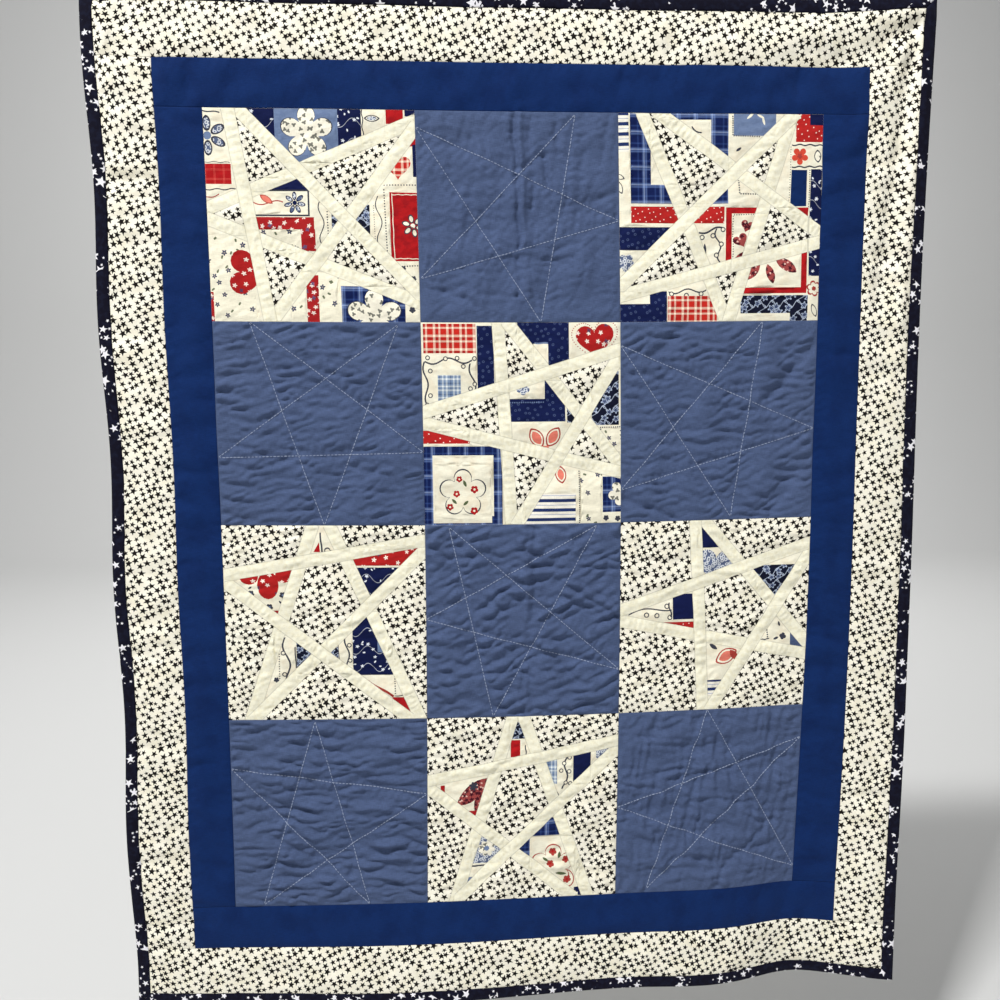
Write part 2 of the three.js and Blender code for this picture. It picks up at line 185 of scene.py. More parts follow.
LINES = {
    "star_block_1": [(161, 0, 1000, 864), (0, 513, 1000, 906), (0, 467, 1000, 50),
                     (1000, 78, 283, 1000), (117, 0, 278, 1000)],
    "plain_block_1": by_tips((0, 76), (788, 10), (1000, 510), (600, 1000), (5, 790)),
    "star_block_2": [(198, 0, 1000, 572), (1000, 613, 0, 872), (0, 828, 858, 0),
                     (847, 0, 544, 1000), (117, 0, 533, 1000)],
    "plain_block_2": by_tips((176, 0), (890, 10), (1000, 635), (503, 1000), (0, 664)),
    "star_block_3": [(430, 0, 1000, 711), (0, 489, 1000, 744), (0, 439, 1000, 133),
                     (1000, 156, 467, 1000), (383, 0, 439, 1000)],
    "plain_block_3": by_tips((0, 114), (720, 0), (1000, 543), (574, 985), (0, 835)),
    "star_block_4": [(528, 0, 967, 1000), (0, 283, 911, 1000), (0, 253, 1000, 76),
                     (1000, 122, 122, 1000), (444, 0, 111, 1000)],
    "plain_block_4": by_tips((120, 10), (878, 10), (1000, 766), (342, 995), (0, 482)),
    "star_block_5": [(436, 0, 1000, 658), (0, 511, 1000, 722), (0, 456, 1000, 133),
                     (1000, 183, 489, 1000), (389, 0, 450, 1000)],
    "plain_block_5": by_tips((430, 10), (1000, 406), (697, 1000), (149, 990), (0, 256)),
    "star_block_6": [(500, 0, 850, 1000), (0, 372, 767, 1000), (0, 339, 1000, 144),
                     (1000, 183, 167, 983), (444, 0, 144, 1000)],
    "plain_block_6": by_tips((477, 0), (1000, 178), (1000, 911), (167, 980), (0, 516)),
}

# The strips of each pieced block in the order they were sewn in, the last one on top.
OVER = {
    "star_block_1": (2, 1, 3, 0, 4), "star_block_2": (4, 3, 0, 1, 2), "star_block_3": (4, 0, 1, 3, 2),
    "star_block_4": (4, 0, 3, 1, 2), "star_block_5": (0, 1, 4, 3, 2), "star_block_6": (4, 0, 1, 3, 2),
}


def in_mm(thousandths):
    """Thousandths of a block in millimetres."""
    return tuple(v * BLOCK / 1000 for v in thousandths)


print("blocks with lines:", len(LINES))


# %% Distances to the sewn lines, for many points at once
def off_line(line, x, y):
    """The distance from each point to a line between two ends."""
    ax, ay, bx, by = line
    long2 = (bx - ax) ** 2 + (by - ay) ** 2
    k = np.clip(((x - ax) * (bx - ax) + (y - ay) * (by - ay)) / long2, 0, 1)
    return np.hypot(x - ax - k * (bx - ax), y - ay - k * (by - ay))


def strips_at(lines, over, x, y):
    """The topmost strip over each point (-1 for none), and the way to the nearest seam."""
    away = np.array([off_line(lines[i], x, y) for i in over])
    on = away < STRIP / 2
    rank = np.where(on.any(0), len(lines) - 1 - np.argmax(on[::-1], 0), -1)
    seam = np.full(x.shape, 99.0)
    for i, off in enumerate(away):
        seam = np.where(i >= rank, np.minimum(seam, abs(off - STRIP / 2)), seam)
    return np.where(rank >= 0, np.array(over)[rank], -1), seam


def turns_round(lines, x, y):
    """How often the star's outline goes round each point: never outside it, once in a
    tip and twice in the middle."""
    corners = []
    for a, b in zip(lines, lines[1:] + lines[:1]):
        d = (a[2] - a[0]) * (b[3] - b[1]) - (a[3] - a[1]) * (b[2] - b[0])
        k = ((b[0] - a[0]) * (b[3] - b[1]) - (b[1] - a[1]) * (b[2] - b[0])) / d
        corners.append((a[0] + k * (a[2] - a[0]), a[1] + k * (a[3] - a[1])))
    total = np.zeros_like(x)
    for (ax, ay), (bx, by) in zip(corners, corners[1:] + corners[:1]):
        first, second = np.arctan2(ay - y, ax - x), np.arctan2(by - y, bx - x)
        total += (second - first + np.pi) % (2 * np.pi) - np.pi
    return np.rint(abs(total) / (2 * np.pi)).astype(int)


centre = np.array([BLOCK / 2])
print("strip over a block's centre:", strips_at([(0, 0, BLOCK, BLOCK)], (0,), centre, centre)[0])

# %% [markdown]
# ## Wrinkles
#
# Sewn cotton is never smooth. Beside every seam the thread draws the cloth into small
# puckers that run away from the line, and hanging and washing leave long level creases.
# A crease is a wave whose place drifts and whose strength fades in and out, and both
# come from a few slow sine waves with seeded directions, so each run gives the same
# cloth. They are added to the height of the mesh, because light has to catch them.

# %% Soft creases and puckers
def drift(s, t, rng, size):
    """A smooth random value from about -1 to 1, that changes over about size millimetres."""
    total = np.zeros_like(s)
    for _ in range(5):
        long, angle = size * rng.uniform(0.8, 2.0), rng.uniform(0, 6.3)
        along = s * math.sin(angle) + t * math.cos(angle)
        total += np.sin(2 * np.pi * along / long + rng.uniform(0, 6.3))
    return total / 2.4


def creases(s, t, seed, waves, lean, count=4):
    """Long creases along s whose spacings lie between two limits. They wander, fade and
    join. Most are narrow valleys, every third one is a narrow ridge."""
    rng = np.random.default_rng(seed)
    total = np.zeros_like(s)
    for k in range(count):
        long = rng.uniform(*waves)
        angle = rng.normal(0, lean / 2)
        along = 0.6 * (s * math.cos(angle) - t * math.sin(angle))
        across = s * math.sin(angle) + t * math.cos(angle)
        wander = 0.40 * long * drift(along, across, rng, 3.0 * long)
        wander += 0.10 * long * drift(along, across, rng, 1.1 * long)
        strength = np.clip(0.15 + 1.15 * drift(along, across, rng, 2.3 * long), 0, 1)
        fold = np.sqrt(np.sin(np.pi * (across + wander) / long) ** 2 + 0.03) - 0.62
        total += strength * (-1.9 if k % 3 == 2 else 2.6) * fold * long / waves[1]
    return total


def puckers(along, off, seed, pitch, reach):
    """Ripples across a seam that die away from it."""
    wander = 1.3 * np.sin(along / 23.0 + seed) + 0.9 * np.sin(along / 9.1 + 2 * seed)
    return np.sin(2 * np.pi * (along + wander + 0.35 * off) / pitch) * np.exp(-off / reach)


def puff(off):
    """How far the padding has risen at some distance from a seam, from 0 to 1."""
    return 1 - np.exp(-((off / 7) ** 1.3))


trial = np.arange(99.0)
print("largest crease in a trial:", creases(trial, trial, 1, (9, 40), 0.6).max().round(2))


# %% How creased each block is: level creases, upright ones, and how much they lean
CREASED = {
    "star_block_1": (0.32, 0.15, 0.6), "plain_block_1": (0.45, 0.7, 0.5), "star_block_2": (0.32, 0.15, 0.6),
    "plain_block_2": (1.4, 0.2, 0.45), "star_block_3": (0.36, 0.15, 0.5), "plain_block_3": (1.4, 0.2, 0.5),
    "star_block_4": (0.60, 0.2, 0.5), "plain_block_4": (1.9, 0.3, 0.35), "star_block_5": (0.60, 0.2, 0.5),
    "plain_block_5": (2.0, 0.2, 0.4), "star_block_6": (0.70, 0.2, 0.5), "plain_block_6": (0.8, 1.5, 0.35),
}

# The strongest wrinkles of the plain blocks: from and to in thousandths of the block,
# half width in millimetres, and how far forward (valleys are negative).
WRINKLES = {
    "plain_block_1": [
        (480, 20, 490, 300, 2.6, -1.5), (490, 300, 500, 640, 2.4, -2.2), (522, 300, 520, 640, 3.0, 1.2),
        (450, 0, 465, 160, 4, 0.9), (512, 20, 516, 240, 3.2, 1.2), (500, 690, 485, 860, 2.6, -1.5),
        (485, 860, 545, 1000, 2.6, -1.7), (575, 300, 570, 450, 2.6, -1.3), (620, 200, 665, 400, 2.6, -1.5),
        (690, 60, 700, 200, 3, -1.2), (735, 300, 730, 480, 3, -1.3), (560, 40, 566, 180, 3, -1.2),
        (500, 262, 620, 210, 3.5, -1.2), (430, 690, 600, 680, 3, -1.2), (460, 712, 770, 688, 3, -1.3),
        (490, 742, 740, 715, 3, -1.1), (680, 640, 800, 600, 4, -1.1), (850, 420, 990, 370, 4, -1.3),
        (0, 820, 120, 850, 4, -1.2), (120, 850, 220, 880, 4, -1.4), (220, 880, 280, 930, 3.5, -1.2),
        (300, 862, 470, 870, 4, -1.0), (790, 360, 840, 180, 4, -0.9), (150, 130, 165, 260, 4, -0.8)],
    "plain_block_2": [
        (560, 190, 720, 250, 3.5, -1.2), (640, 290, 800, 330, 4, -1.2), (500, 90, 600, 160, 4, -1.2),
        (130, 262, 300, 232, 4, -1.1), (0, 345, 160, 310, 4, -1.2), (600, 20, 700, 70, 5, -1.0),
        (700, 420, 900, 400, 4, -1.0), (80, 660, 260, 700, 5, -1.0), (560, 700, 800, 720, 5, -1.0)],
    "plain_block_3": [
        (150, 185, 260, 80, 5, -1.6), (260, 80, 330, 10, 5, -1.6), (640, 450, 760, 380, 6, -1.6),
        (760, 380, 880, 240, 7, -2.0), (880, 240, 990, 120, 8, -1.6), (0, 870, 150, 930, 4, -2.0),
        (150, 930, 310, 1000, 4, -2.0), (0, 530, 160, 545, 4, -1.4), (480, 870, 560, 842, 4, -1.1),
        (700, 990, 940, 730, 11, -2.0), (780, 960, 880, 880, 4, -1.2), (0, 280, 120, 250, 4, -1.1)],
    "plain_block_4": [
        (552, 0, 556, 150, 4, -1.8), (524, 0, 516, 130, 3.5, -1.2), (556, 190, 546, 480, 4, -1.5),
        (520, 500, 526, 640, 4, -1.2), (500, 760, 490, 970, 3.5, -1.6), (536, 780, 542, 960, 4, -1.0),
        (0, 220, 120, 240, 5, -1.3), (640, 500, 860, 420, 5, -1.2), (700, 840, 900, 780, 5, -1.3),
        (80, 940, 240, 900, 5, -1.1)],
    "plain_block_5": [
        (0, 84, 140, 72, 3.5, -1.5), (140, 72, 230, 28, 3.5, -1.5), (60, 165, 180, 140, 4, -1.2),
        (330, 120, 560, 172, 4, -1.5), (560, 172, 800, 160, 4, -1.6), (800, 160, 950, 205, 4, -1.4),
        (700, 62, 890, 80, 5, -1.4), (890, 50, 980, 150, 3.5, -1.4), (750, 262, 900, 248, 4, -1.3),
        (600, 832, 780, 808, 5, -1.6), (780, 808, 940, 850, 5, -1.5), (640, 762, 820, 720, 4, -1.3),
        (880, 720, 990, 762, 4, -1.2), (0, 420, 90, 470, 4, -1.2), (590, 870, 610, 790, 4, -1.2)],
    "plain_block_6": [
        (110, 352, 350, 312, 3.5, -1.6), (280, 384, 480, 342, 3.5, -1.6), (420, 344, 620, 330, 3.5, -1.4),
        (96, 510, 140, 380, 4, -1.4), (170, 640, 212, 330, 4, -1.6), (300, 560, 342, 280, 4, -1.5),
        (330, 820, 420, 400, 4.5, -1.6), (440, 700, 470, 500, 4, -1.3), (372, 210, 450, 0, 5, -1.5),
        (580, 30, 600, 250, 5, -1.3), (250, 60, 292, 150, 4, -1.1), (850, 490, 872, 180, 4, -1.4),
        (800, 470, 790, 250, 4, -1.2), (930, 300, 920, 100, 4, -1.1), (600, 890, 700, 780, 4, -1.6),
        (700, 780, 860, 640, 4, -1.6), (600, 512, 760, 520, 3.5, -1.3), (650, 302, 900, 240, 4, -1.2)],
}
print("wrinkles placed by eye:", sum(map(len, WRINKLES.values())))


# %% How far the cloth of a block waves
# The least and the greatest spacing of its creases, in millimetres.
LEVEL_GAPS, UPRIGHT_GAPS, FINE_GAPS = (9, 20), (12, 30), (6, 11)


def block_wave(name, x, y, edge, soft):
    """The creases and wrinkles in millimetres. soft is 0 where the cloth is sewn down."""
    pieced, seed = name.startswith("star"), sorted(LINES).index(name)
    level, upright, lean = CREASED[name]
    wave = level * soft * creases(x, y, 10 + seed, LEVEL_GAPS, lean, 6)
    wave += upright * soft * creases(y, x, 30 + seed, UPRIGHT_GAPS, 0.3)
    wave += (0.17 if pieced else 0.26) * soft * creases(x, y, 40 + seed, FINE_GAPS, 0.6)
    rng = np.random.default_rng(60 + seed)
    wave += (1.0 if pieced else 1.7) * np.minimum(1, edge / 30) * drift(x, y, rng, 42)
    px, py = x + 1.4 * drift(x, y, rng, 30), y + 1.4 * drift(x, y, rng, 30)
    for *line, half, depth in WRINKLES.get(name, []):
        wave += 1.5 * depth * soft * np.exp(-((off_line(in_mm(line), px, py) / half) ** 2))
    return wave


print("creased blocks:", len(CREASED))


# %% The height of a block's face above its sewn lines
def block_relief(name, x, y):
    """How thick the cloth puffs up and how far it waves, in millimetres, then the
    distances to the nearest sewn line and to the block's edge."""
    lines, seed = [in_mm(line) for line in LINES[name]], sorted(LINES).index(name)
    edge = np.clip(np.minimum.reduce([x, y, BLOCK - x, BLOCK - y]), 0, None)
    if name.startswith("star"):
        top, seam = strips_at(lines, OVER[name], x, y)
        soft = np.minimum(1, np.minimum(seam, edge) / 4)
    else:
        top = np.full(x.shape, -1)
        seam = np.min([off_line(line, x, y) for line in lines], axis=0)
        soft = np.minimum(1, edge / 4) * (0.3 + 0.7 * np.minimum(1, seam / 5))
    rise = puff(np.minimum(seam, edge))
    height = np.where(top >= 0, 0.55 * np.minimum(1, rise * 1.6), rise) * FRONT_PUFF
    for i, (ax, ay, bx, by) in enumerate(lines):
        long = math.hypot(bx - ax, by - ay)
        along = ((x - ax) * (bx - ax) + (y - ay) * (by - ay)) / long
        off = off_line(lines[i], x, y)
        if name.startswith("star"):
            ripple = puckers(along, 0 * off, seed + i, 6.4 + 0.5 * i, 1)
            uneven = 0.6 + 0.5 * np.sin(along / 17.0 + 3 * i) * np.sin(along / 41.0 + seed)
            height += np.where(top == i, 0.34 * uneven * ripple * np.minimum(1, seam / 2), 0)
            out = np.clip(off - STRIP / 2, 0, None)
            height += np.where(top < 0, 0.16 * puckers(along, out, seed + i, 8.0, 7) * soft, 0)
        else:
            height += 0.50 * puckers(along, off, seed + i, 9.5, 10) * np.minimum(1, off / 2.5)
    return height, block_wave(name, x, y, edge, soft), seam, edge


spot = np.array([60.0])
puffed, waved, *_ = block_relief("plain_block_1", spot, spot)
print("puff and wave at a point of a plain block:", puffed.round(2), waved.round(2))

# %% [markdown]
# ## Making a sheet
#
# A block's face is a net of small triangles. Where two prints meet, the net has to
# follow their border exactly, or the colours would end in a saw-tooth. A constrained
# Delaunay triangulation does that: it takes loose points and outlines, and gives
# triangles that never cross an outline, with a note of which outlines each lies in.
# The same function gives the plain back, and a rim joins the two, so that each piece
# is one closed sheet.

# %% Points set evenly along an outline
def stepped(a, b, parts, count):
    """The first so many points of a line that is cut into equal parts."""
    across, down = b[0] - a[0], b[1] - a[1]
    return [(a[0] + across * k / parts, a[1] + down * k / parts) for k in range(count)]


def evenly(corners, pitch):
    """The corners of an outline with points added between them."""
    points = []
    for a, b in zip(corners, corners[1:] + corners[:1]):
        parts = max(1, round(math.dist(a, b) / pitch))
        points += stepped(a, b, parts, parts)
    return points


print("points round a square of 10:", len(evenly([(0, 0), (10, 0), (10, 10), (0, 10)], 1)))

# %% Triangles of a face, with its outlines kept
# In shares of the pitch: how far loose points keep from the edge and from a line, and how
# far apart the points of a cut lie.
EDGE_CLEAR, LINE_CLEAR, CUT_STEP = 0.4, 0.35, 1.5


def net(outline, drawn, cuts, pitch):
    """Flat points, triangles and, for each triangle, the last outline it lies in (-1 for none)."""
    outline = np.asarray(outline, float)
    low, high = outline.min(0), outline.max(0)
    nx, ny = (np.ceil((high - low) / pitch)).astype(int)
    gx, gy = np.meshgrid((np.arange(nx) + 0.5) / nx, (np.arange(ny) + 0.5) / ny)
    grid = low + np.column_stack([gx.ravel(), gy.ravel()]) * (high - low)
    keep = np.ones(len(grid), bool)
    for a, b in zip(outline, np.roll(outline, -1, 0)):
        n = np.array([-(b - a)[1], (b - a)[0]]) / np.linalg.norm(b - a)
        keep &= (grid - a) @ n > EDGE_CLEAR * pitch
    for shape in [*drawn, *cuts]:
        ends = np.asarray(shape, float)
        closed = len(ends) > 2
        for a, b in zip(ends, np.roll(ends, -1, 0)) if closed else [(ends[0], ends[1])]:
            past, short = grid > np.minimum(a, b) - pitch, grid < np.maximum(a, b) + pitch
            near = keep & past.all(1) & short.all(1)
            if near.any():
                off = off_line((*a, *b), grid[near, 0], grid[near, 1])
                keep[np.flatnonzero(near)[off < LINE_CLEAR * pitch]] = False
    points, faces, edges = [], [], []
    for shape in [outline, *drawn]:
        faces.append(list(range(len(points), len(points) + len(shape))))
        points += [tuple(p) for p in shape]
    for a, b in cuts:
        parts = max(1, round(math.dist(a, b) / (CUT_STEP * pitch)))
        edges += [(len(points) + k, len(points) + k + 1) for k in range(parts)]
        points += stepped(a, b, parts, parts + 1)
    points += [tuple(p) for p in grid[keep]]
    made = delaunay_2d_cdt([Vector(p) for p in points], edges, faces, 1, 1e-4)
    flat = np.array([tuple(p) for p in made[0]])
    triangles = np.array(made[2])
    inside = np.array([max(ids) - 1 if ids else -1 for ids in made[5]])
    return flat, triangles, inside


trial = net(evenly([(0, 0), (10, 0), (10, 10), (0, 10)], 1), [], [], 1)
print("a square of 10 at pitch 1:", len(trial[1]), "triangles")


# %% The side that a net looks to, and its rim
def facing(flat, triangles, back=False):
    """Triangles turned so that they look forwards, or backwards for the back."""
    a, b, c = (flat[triangles[:, i]] for i in range(3))
    cross = np.cross(b - a, c - a)
    wrong = cross < 0 if back else cross > 0
    triangles[wrong] = triangles[wrong][:, ::-1]
    return triangles


def rim_of(triangles):
    """The points round the edge of a net, in order, and the triangle beside each."""
    sides = np.concatenate([triangles[:, [0, 1]], triangles[:, [1, 2]], triangles[:, [2, 0]]])
    owner = np.tile(np.arange(len(triangles)), 3)
    key = sides[:, 0] * (triangles.max() + 1) + sides[:, 1]
    back = sides[:, 1] * (triangles.max() + 1) + sides[:, 0]
    lone = ~np.isin(back, key)
    following = {int(a): (int(b), int(k)) for (a, b), k in zip(sides[lone], owner[lone])}
    loop, beside = [min(following)], []
    while not beside or loop[-1] != loop[0]:
        point, triangle = following[loop[-1]]
        loop.append(point)
        beside.append(triangle)
    return loop[:-1], np.array(beside)


print("points on its rim:", len(rim_of(facing(trial[0], trial[1]))[0]))


# %% Small helpers for any mesh
# The pitch of a net in millimetres: a block's face, a border's face, and any back.
FRONT_PITCH, BORDER_PITCH, BACK_PITCH = 1.9, 2.4, 3.6


def smooth(mesh):
    mesh.polygons.foreach_set("use_smooth", np.ones(len(mesh.polygons), bool))


def placed(mesh):
    """An object at the origin that has the mesh's own name."""
    piece = bpy.data.objects.new(mesh.name, mesh)
    bpy.context.collection.objects.link(piece)
    return piece


def finish_cloth(mesh, where, seam):
    """Gives a mesh its place on the flat cloth as a UV map, and its way to the next seam."""
    uv = mesh.uv_layers.new(name="cloth")
    corner = np.zeros(len(mesh.loops), np.int32)
    mesh.loops.foreach_get("vertex_index", corner)
    uv.data.foreach_set("uv", (where[corner] / 1000).astype(np.float32).ravel())
    attribute = mesh.attributes.new("seam", "FLOAT", "POINT")
    attribute.data.foreach_set("value", np.asarray(seam, np.float32))
    smooth(mesh)


print("pitch of the nets, in millimetres:", FRONT_PITCH, BORDER_PITCH, BACK_PITCH)


# %% A closed sheet from a face, a rim and a back
def sheet(name, corners, relief, fabrics, drawn=(), cuts=(), pitch=FRONT_PITCH, choose=None):
    """A closed mesh of one piece of the quilt. corners are (s, t) in millimetres and
    relief(s, t) gives the face's puff, the whole cloth's wave and the way to the next seam."""
    s0, t0 = np.min(corners, axis=0)
    outline = evenly([(s - s0, t - t0) for s, t in corners], 4 * pitch)
    flat, triangles, inside = net(outline, drawn, cuts, pitch)
    triangles = facing(flat, triangles)
    middle = flat[triangles].mean(1)
    fabric = choose(inside, middle[:, 0], middle[:, 1]) if choose else np.zeros(len(triangles), int)
    height, wave, seam = relief(flat[:, 0], flat[:, 1])
    loop, beside = rim_of(triangles)
    height[loop] = wave[loop] = 0
    front = hang(flat[:, 0] + s0, flat[:, 1] + t0, LOW + height + wave)

    back_flat, back_triangles, _ = net(flat[loop][::-1], [], [], BACK_PITCH)
    back_triangles = facing(back_flat, back_triangles, back=True)
    behind, back_wave, _ = relief(back_flat[:, 0], back_flat[:, 1])
    back_loop = [int(np.argmin(np.hypot(*(back_flat - p).T))) for p in flat[loop]]
    behind = behind * BACK_PUFF / FRONT_PUFF
    behind[back_loop] = back_wave[back_loop] = 0
    back = hang(back_flat[:, 0] + s0, back_flat[:, 1] + t0, back_wave - LOW - behind)

    n = len(front)
    faces = [tuple(f) for f in triangles] + [tuple(n + f) for f in back_triangles]
    for i, j in enumerate(np.roll(range(len(loop)), -1)):
        faces.append((loop[i], n + back_loop[i], n + back_loop[j], loop[j]))
    mesh = bpy.data.meshes.new(name)
    mesh.from_pydata(np.concatenate([front, back]).tolist(), [], [tuple(map(int, f)) for f in faces])
    where = np.concatenate([flat, back_flat]) + (s0, t0)
    finish_cloth(mesh, where, np.concatenate([seam, np.full(len(back), 9.0)]))
    for material in [*fabrics, COTTONS["backing"]]:
        mesh.materials.append(material)
    slots = np.concatenate([fabric, np.full(len(back_triangles), len(fabrics)), fabric[beside]])
    mesh.polygons.foreach_set("material_index", slots.astype(np.int32))
    mesh.update()
    return placed(mesh)


print("sheets can be made")

# %% [markdown]
# ## Cotton
#
# All the cloth is quilting cotton: matt, closely woven, with a faint sheen and small
# differences of tone. A small class keeps the node trees short. Each print is a colour
# that one function works out from the place on the flat cloth, in millimetres, so a
# star is as large as on the real cloth and follows every fold.

# %% A short way to write node trees
# In millimetres the pitch of the threads and the reach of a seam's shadow, in metres the
# depth of the bump.
THREAD, SEAM_SHADOW, BUMP_DEPTH = 0.62, 0.9, 0.0004


def dye(red, green, blue):
    """A colour as the eye reads it, 0 to 255, turned into light."""
    shares = [v / 255 for v in (red, green, blue)]
    return (*(((v + 0.055) / 1.055) ** 2.4 if v > 0.04 else v / 12.92 for v in shares), 1)


class Cloth:
    """One cotton's node tree."""

    def __init__(self, name):
        self.material = bpy.data.materials.new(name)
        self.material.use_nodes = True
        self.tree = self.material.node_tree
        self.tree.nodes.clear()
        uv = self.node("ShaderNodeUVMap", uv_map="cloth")
        self.mm = self.vector("SCALE", uv.outputs["UV"], scale=1000.0)
        split = self.node("ShaderNodeSeparateXYZ", {"Vector": self.mm})
        self.x, self.y = split.outputs["X"], split.outputs["Y"]

    def node(self, kind, values=None, **settings):
        made = self.tree.nodes.new(kind)
        for key, value in settings.items():
            setattr(made, key, value)
        for key, value in (values or {}).items():
            self.put(made.inputs[key], value)
        return made

    def put(self, socket, value):
        if isinstance(value, bpy.types.NodeSocket):
            self.tree.links.new(value, socket)
        else:
            socket.default_value = value

    def math(self, operation, *values):
        made = self.node("ShaderNodeMath", operation=operation)
        for socket, value in zip(made.inputs, values):
            self.put(socket, value)
        return made.outputs[0]

    def times(self, first, second):
        return self.math("MULTIPLY", first, second)

    def plus(self, first, second):
        return self.math("ADD", first, second)

    def minus(self, first, second):
        return self.math("SUBTRACT", first, second)

    def vector(self, operation, first, second=None, scale=None):
        made = self.node("ShaderNodeVectorMath", operation=operation)
        self.put(made.inputs[0], first)
        if second is not None:
            self.put(made.inputs[1], second)
        if scale is not None:
            self.put(made.inputs["Scale"], scale)
        return made.outputs[0]

    def between(self, value, low, high, first=0.0, last=1.0):
        """A value mapped smoothly from one range to another."""
        made = self.node("ShaderNodeMapRange", interpolation_type="SMOOTHSTEP")
        for socket, v in zip(made.inputs, (value, low, high, first, last)):
            self.put(socket, v)
        return made.outputs[0]

    def mix(self, share, first, second, blend="MIX"):
        made = self.node("ShaderNodeMix", data_type="RGBA", blend_type=blend)
        self.put(made.inputs["Factor"], share)
        self.put(made.inputs[6], first)
        self.put(made.inputs[7], second)
        return made.outputs[2]

    def texture(self, place, scale, detail):
        values = {"Vector": place, "Scale": scale, "Detail": detail}
        return self.node("ShaderNodeTexNoise", values, noise_dimensions="2D")

    def noise(self, size, detail):
        """Soft random values, in spots of about the given size in millimetres."""
        return self.texture(self.mm, 1 / size, detail).outputs[0]

    def streaks(self, across, down):
        """Random values drawn out along the threads, across by down millimetres."""
        place = self.vector("MULTIPLY", self.mm, (1 / across, 1 / down, 1))
        return self.texture(place, 1.0, 1.0).outputs[0]

    def ramp(self, value, stops, blend):
        """Bands of colour: each stop is where its colour starts."""
        made = self.node("ShaderNodeValToRGB", {"Fac": value})
        made.color_ramp.interpolation = blend
        for i, (place, colour) in enumerate(stops):
            stop = made.color_ramp.elements[i] if i < 2 else made.color_ramp.elements.new(place)
            stop.position = place
            stop.color = colour
        return made.outputs["Color"]

    def cells(self, pitch, jitter, shift=0.0):
        """The place of each point in its own cell, and two random numbers of the cell.
        The cells are turned and bent a little, so that no rows show."""
        bend = self.texture(self.mm, 1 / (7 * pitch), 0.0).outputs["Color"]
        bend = self.vector("SCALE", bend, scale=1.1 * pitch)
        values = {"Vector": self.mm, "Angle": 0.46}
        turned = self.node("ShaderNodeVectorRotate", values, rotation_type="Z_AXIS").outputs[0]
        place = self.vector("ADD", self.vector("ADD", turned, bend), (shift, 1.7 * shift, 0))
        values = {"Vector": place, "Scale": 1 / pitch, "Randomness": jitter}
        made = self.node("ShaderNodeTexVoronoi", values, voronoi_dimensions="2D")
        local = self.vector("SUBTRACT", place, made.outputs["Position"])
        local = self.node("ShaderNodeSeparateXYZ", {"Vector": local})
        chance = self.node("ShaderNodeSeparateColor", {"Color": made.outputs["Color"]})
        return local.outputs["X"], local.outputs["Y"], chance.outputs["Red"], chance.outputs["Green"]

    def away(self, x, y):
        """How far each point is from the middle of its cell."""
        return self.math("SQRT", self.plus(self.times(x, x), self.times(y, y)))

    def angle(self, x, y, turn):
        """Which way each point lies from the middle of its cell, that is turned at random."""
        return self.plus(self.math("ARCTAN2", y, x), self.times(turn, 2 * math.pi))

    def finish(self, colour, weave=1.0):
        """The cotton itself: tone, weave and seam shadow over a colour."""
        tone = self.between(self.noise(22, 3), 0.3, 0.7, 0.97, 1.02)
        weft = self.streaks(7.0, 0.55)
        weft = self.between(weft, 0.25, 0.75, 1 - 0.07 * weave, 1 + 0.05 * weave)
        warp = self.streaks(0.55, 6.0)
        warp = self.between(warp, 0.25, 0.75, 1 - 0.05 * weave, 1 + 0.03 * weave)
        # Painted seam shade: the colour darkens to 0.72 of itself at a seam and is full again SEAM_SHADOW
        # millimetres away.
        seam = self.node("ShaderNodeAttribute", attribute_name="seam").outputs["Fac"]
        seam_shade = self.between(seam, 0.0, SEAM_SHADOW, 0.72, 1.0)
        shade = self.times(self.times(tone, self.times(warp, weft)), seam_shade)
        grey = self.node("ShaderNodeCombineColor", {"Red": shade, "Green": shade, "Blue": shade})
        colour = self.mix(1.0, colour, grey.outputs[0], "MULTIPLY")
        warp = self.math("SINE", self.times(self.x, 2 * math.pi / THREAD))
        weft = self.math("SINE", self.times(self.y, 2 * math.pi / THREAD))
        threads = self.times(self.times(warp, weft), 0.5)
        height = self.plus(self.times(threads, 0.35 * weave), self.times(self.noise(4.5, 3), 1.6))
        values = {"Height": height, "Distance": BUMP_DEPTH, "Strength": 0.55}
        bump = self.node("ShaderNodeBump", values).outputs[0]
        values = {"Base Color": colour, "Roughness": 0.88, "Sheen Weight": 0.02,
                  "Specular IOR Level": 0.08, "Normal": bump}
        shader = self.node("ShaderNodeBsdfPrincipled", values)
        self.node("ShaderNodeOutputMaterial", {"Surface": shader.outputs[0]})
        return self.material


print("a mid grey of 128 is light of", round(dye(128, 128, 128)[0], 3))


# %% Printed shapes that repeat: stars, rosettes, dots, rings and stems
def some(cloth, mask, chance, kept):
    """Only the shapes of those cells whose random number is below kept."""
    return cloth.times(mask, cloth.math("LESS_THAN", chance, kept)) if kept < 1 else mask


def stars(cloth, pitch, radius, jitter, spread, kept=1.0):
    """Five-pointed stars in random turns and sizes, one in each cell."""
    x, y, turn, size = cloth.cells(pitch, jitter)
    tip = cloth.times(radius, cloth.minus(1.0, cloth.times(spread, size)))
    wedge = cloth.math("FLOORED_MODULO", cloth.angle(x, y, turn), 2 * math.pi / 5)
    wedge = cloth.math("ABSOLUTE", cloth.minus(wedge, math.pi / 5))
    away = cloth.away(x, y)
    along = cloth.minus(cloth.times(away, cloth.math("COSINE", wedge)), tip)
    aside = cloth.times(away, cloth.math("SINE", wedge))
    out = cloth.plus(cloth.times(along, 0.35), cloth.times(aside, 0.95))
    return some(cloth, cloth.between(out, -0.10, 0.14, 1.0, 0.0), size, kept)


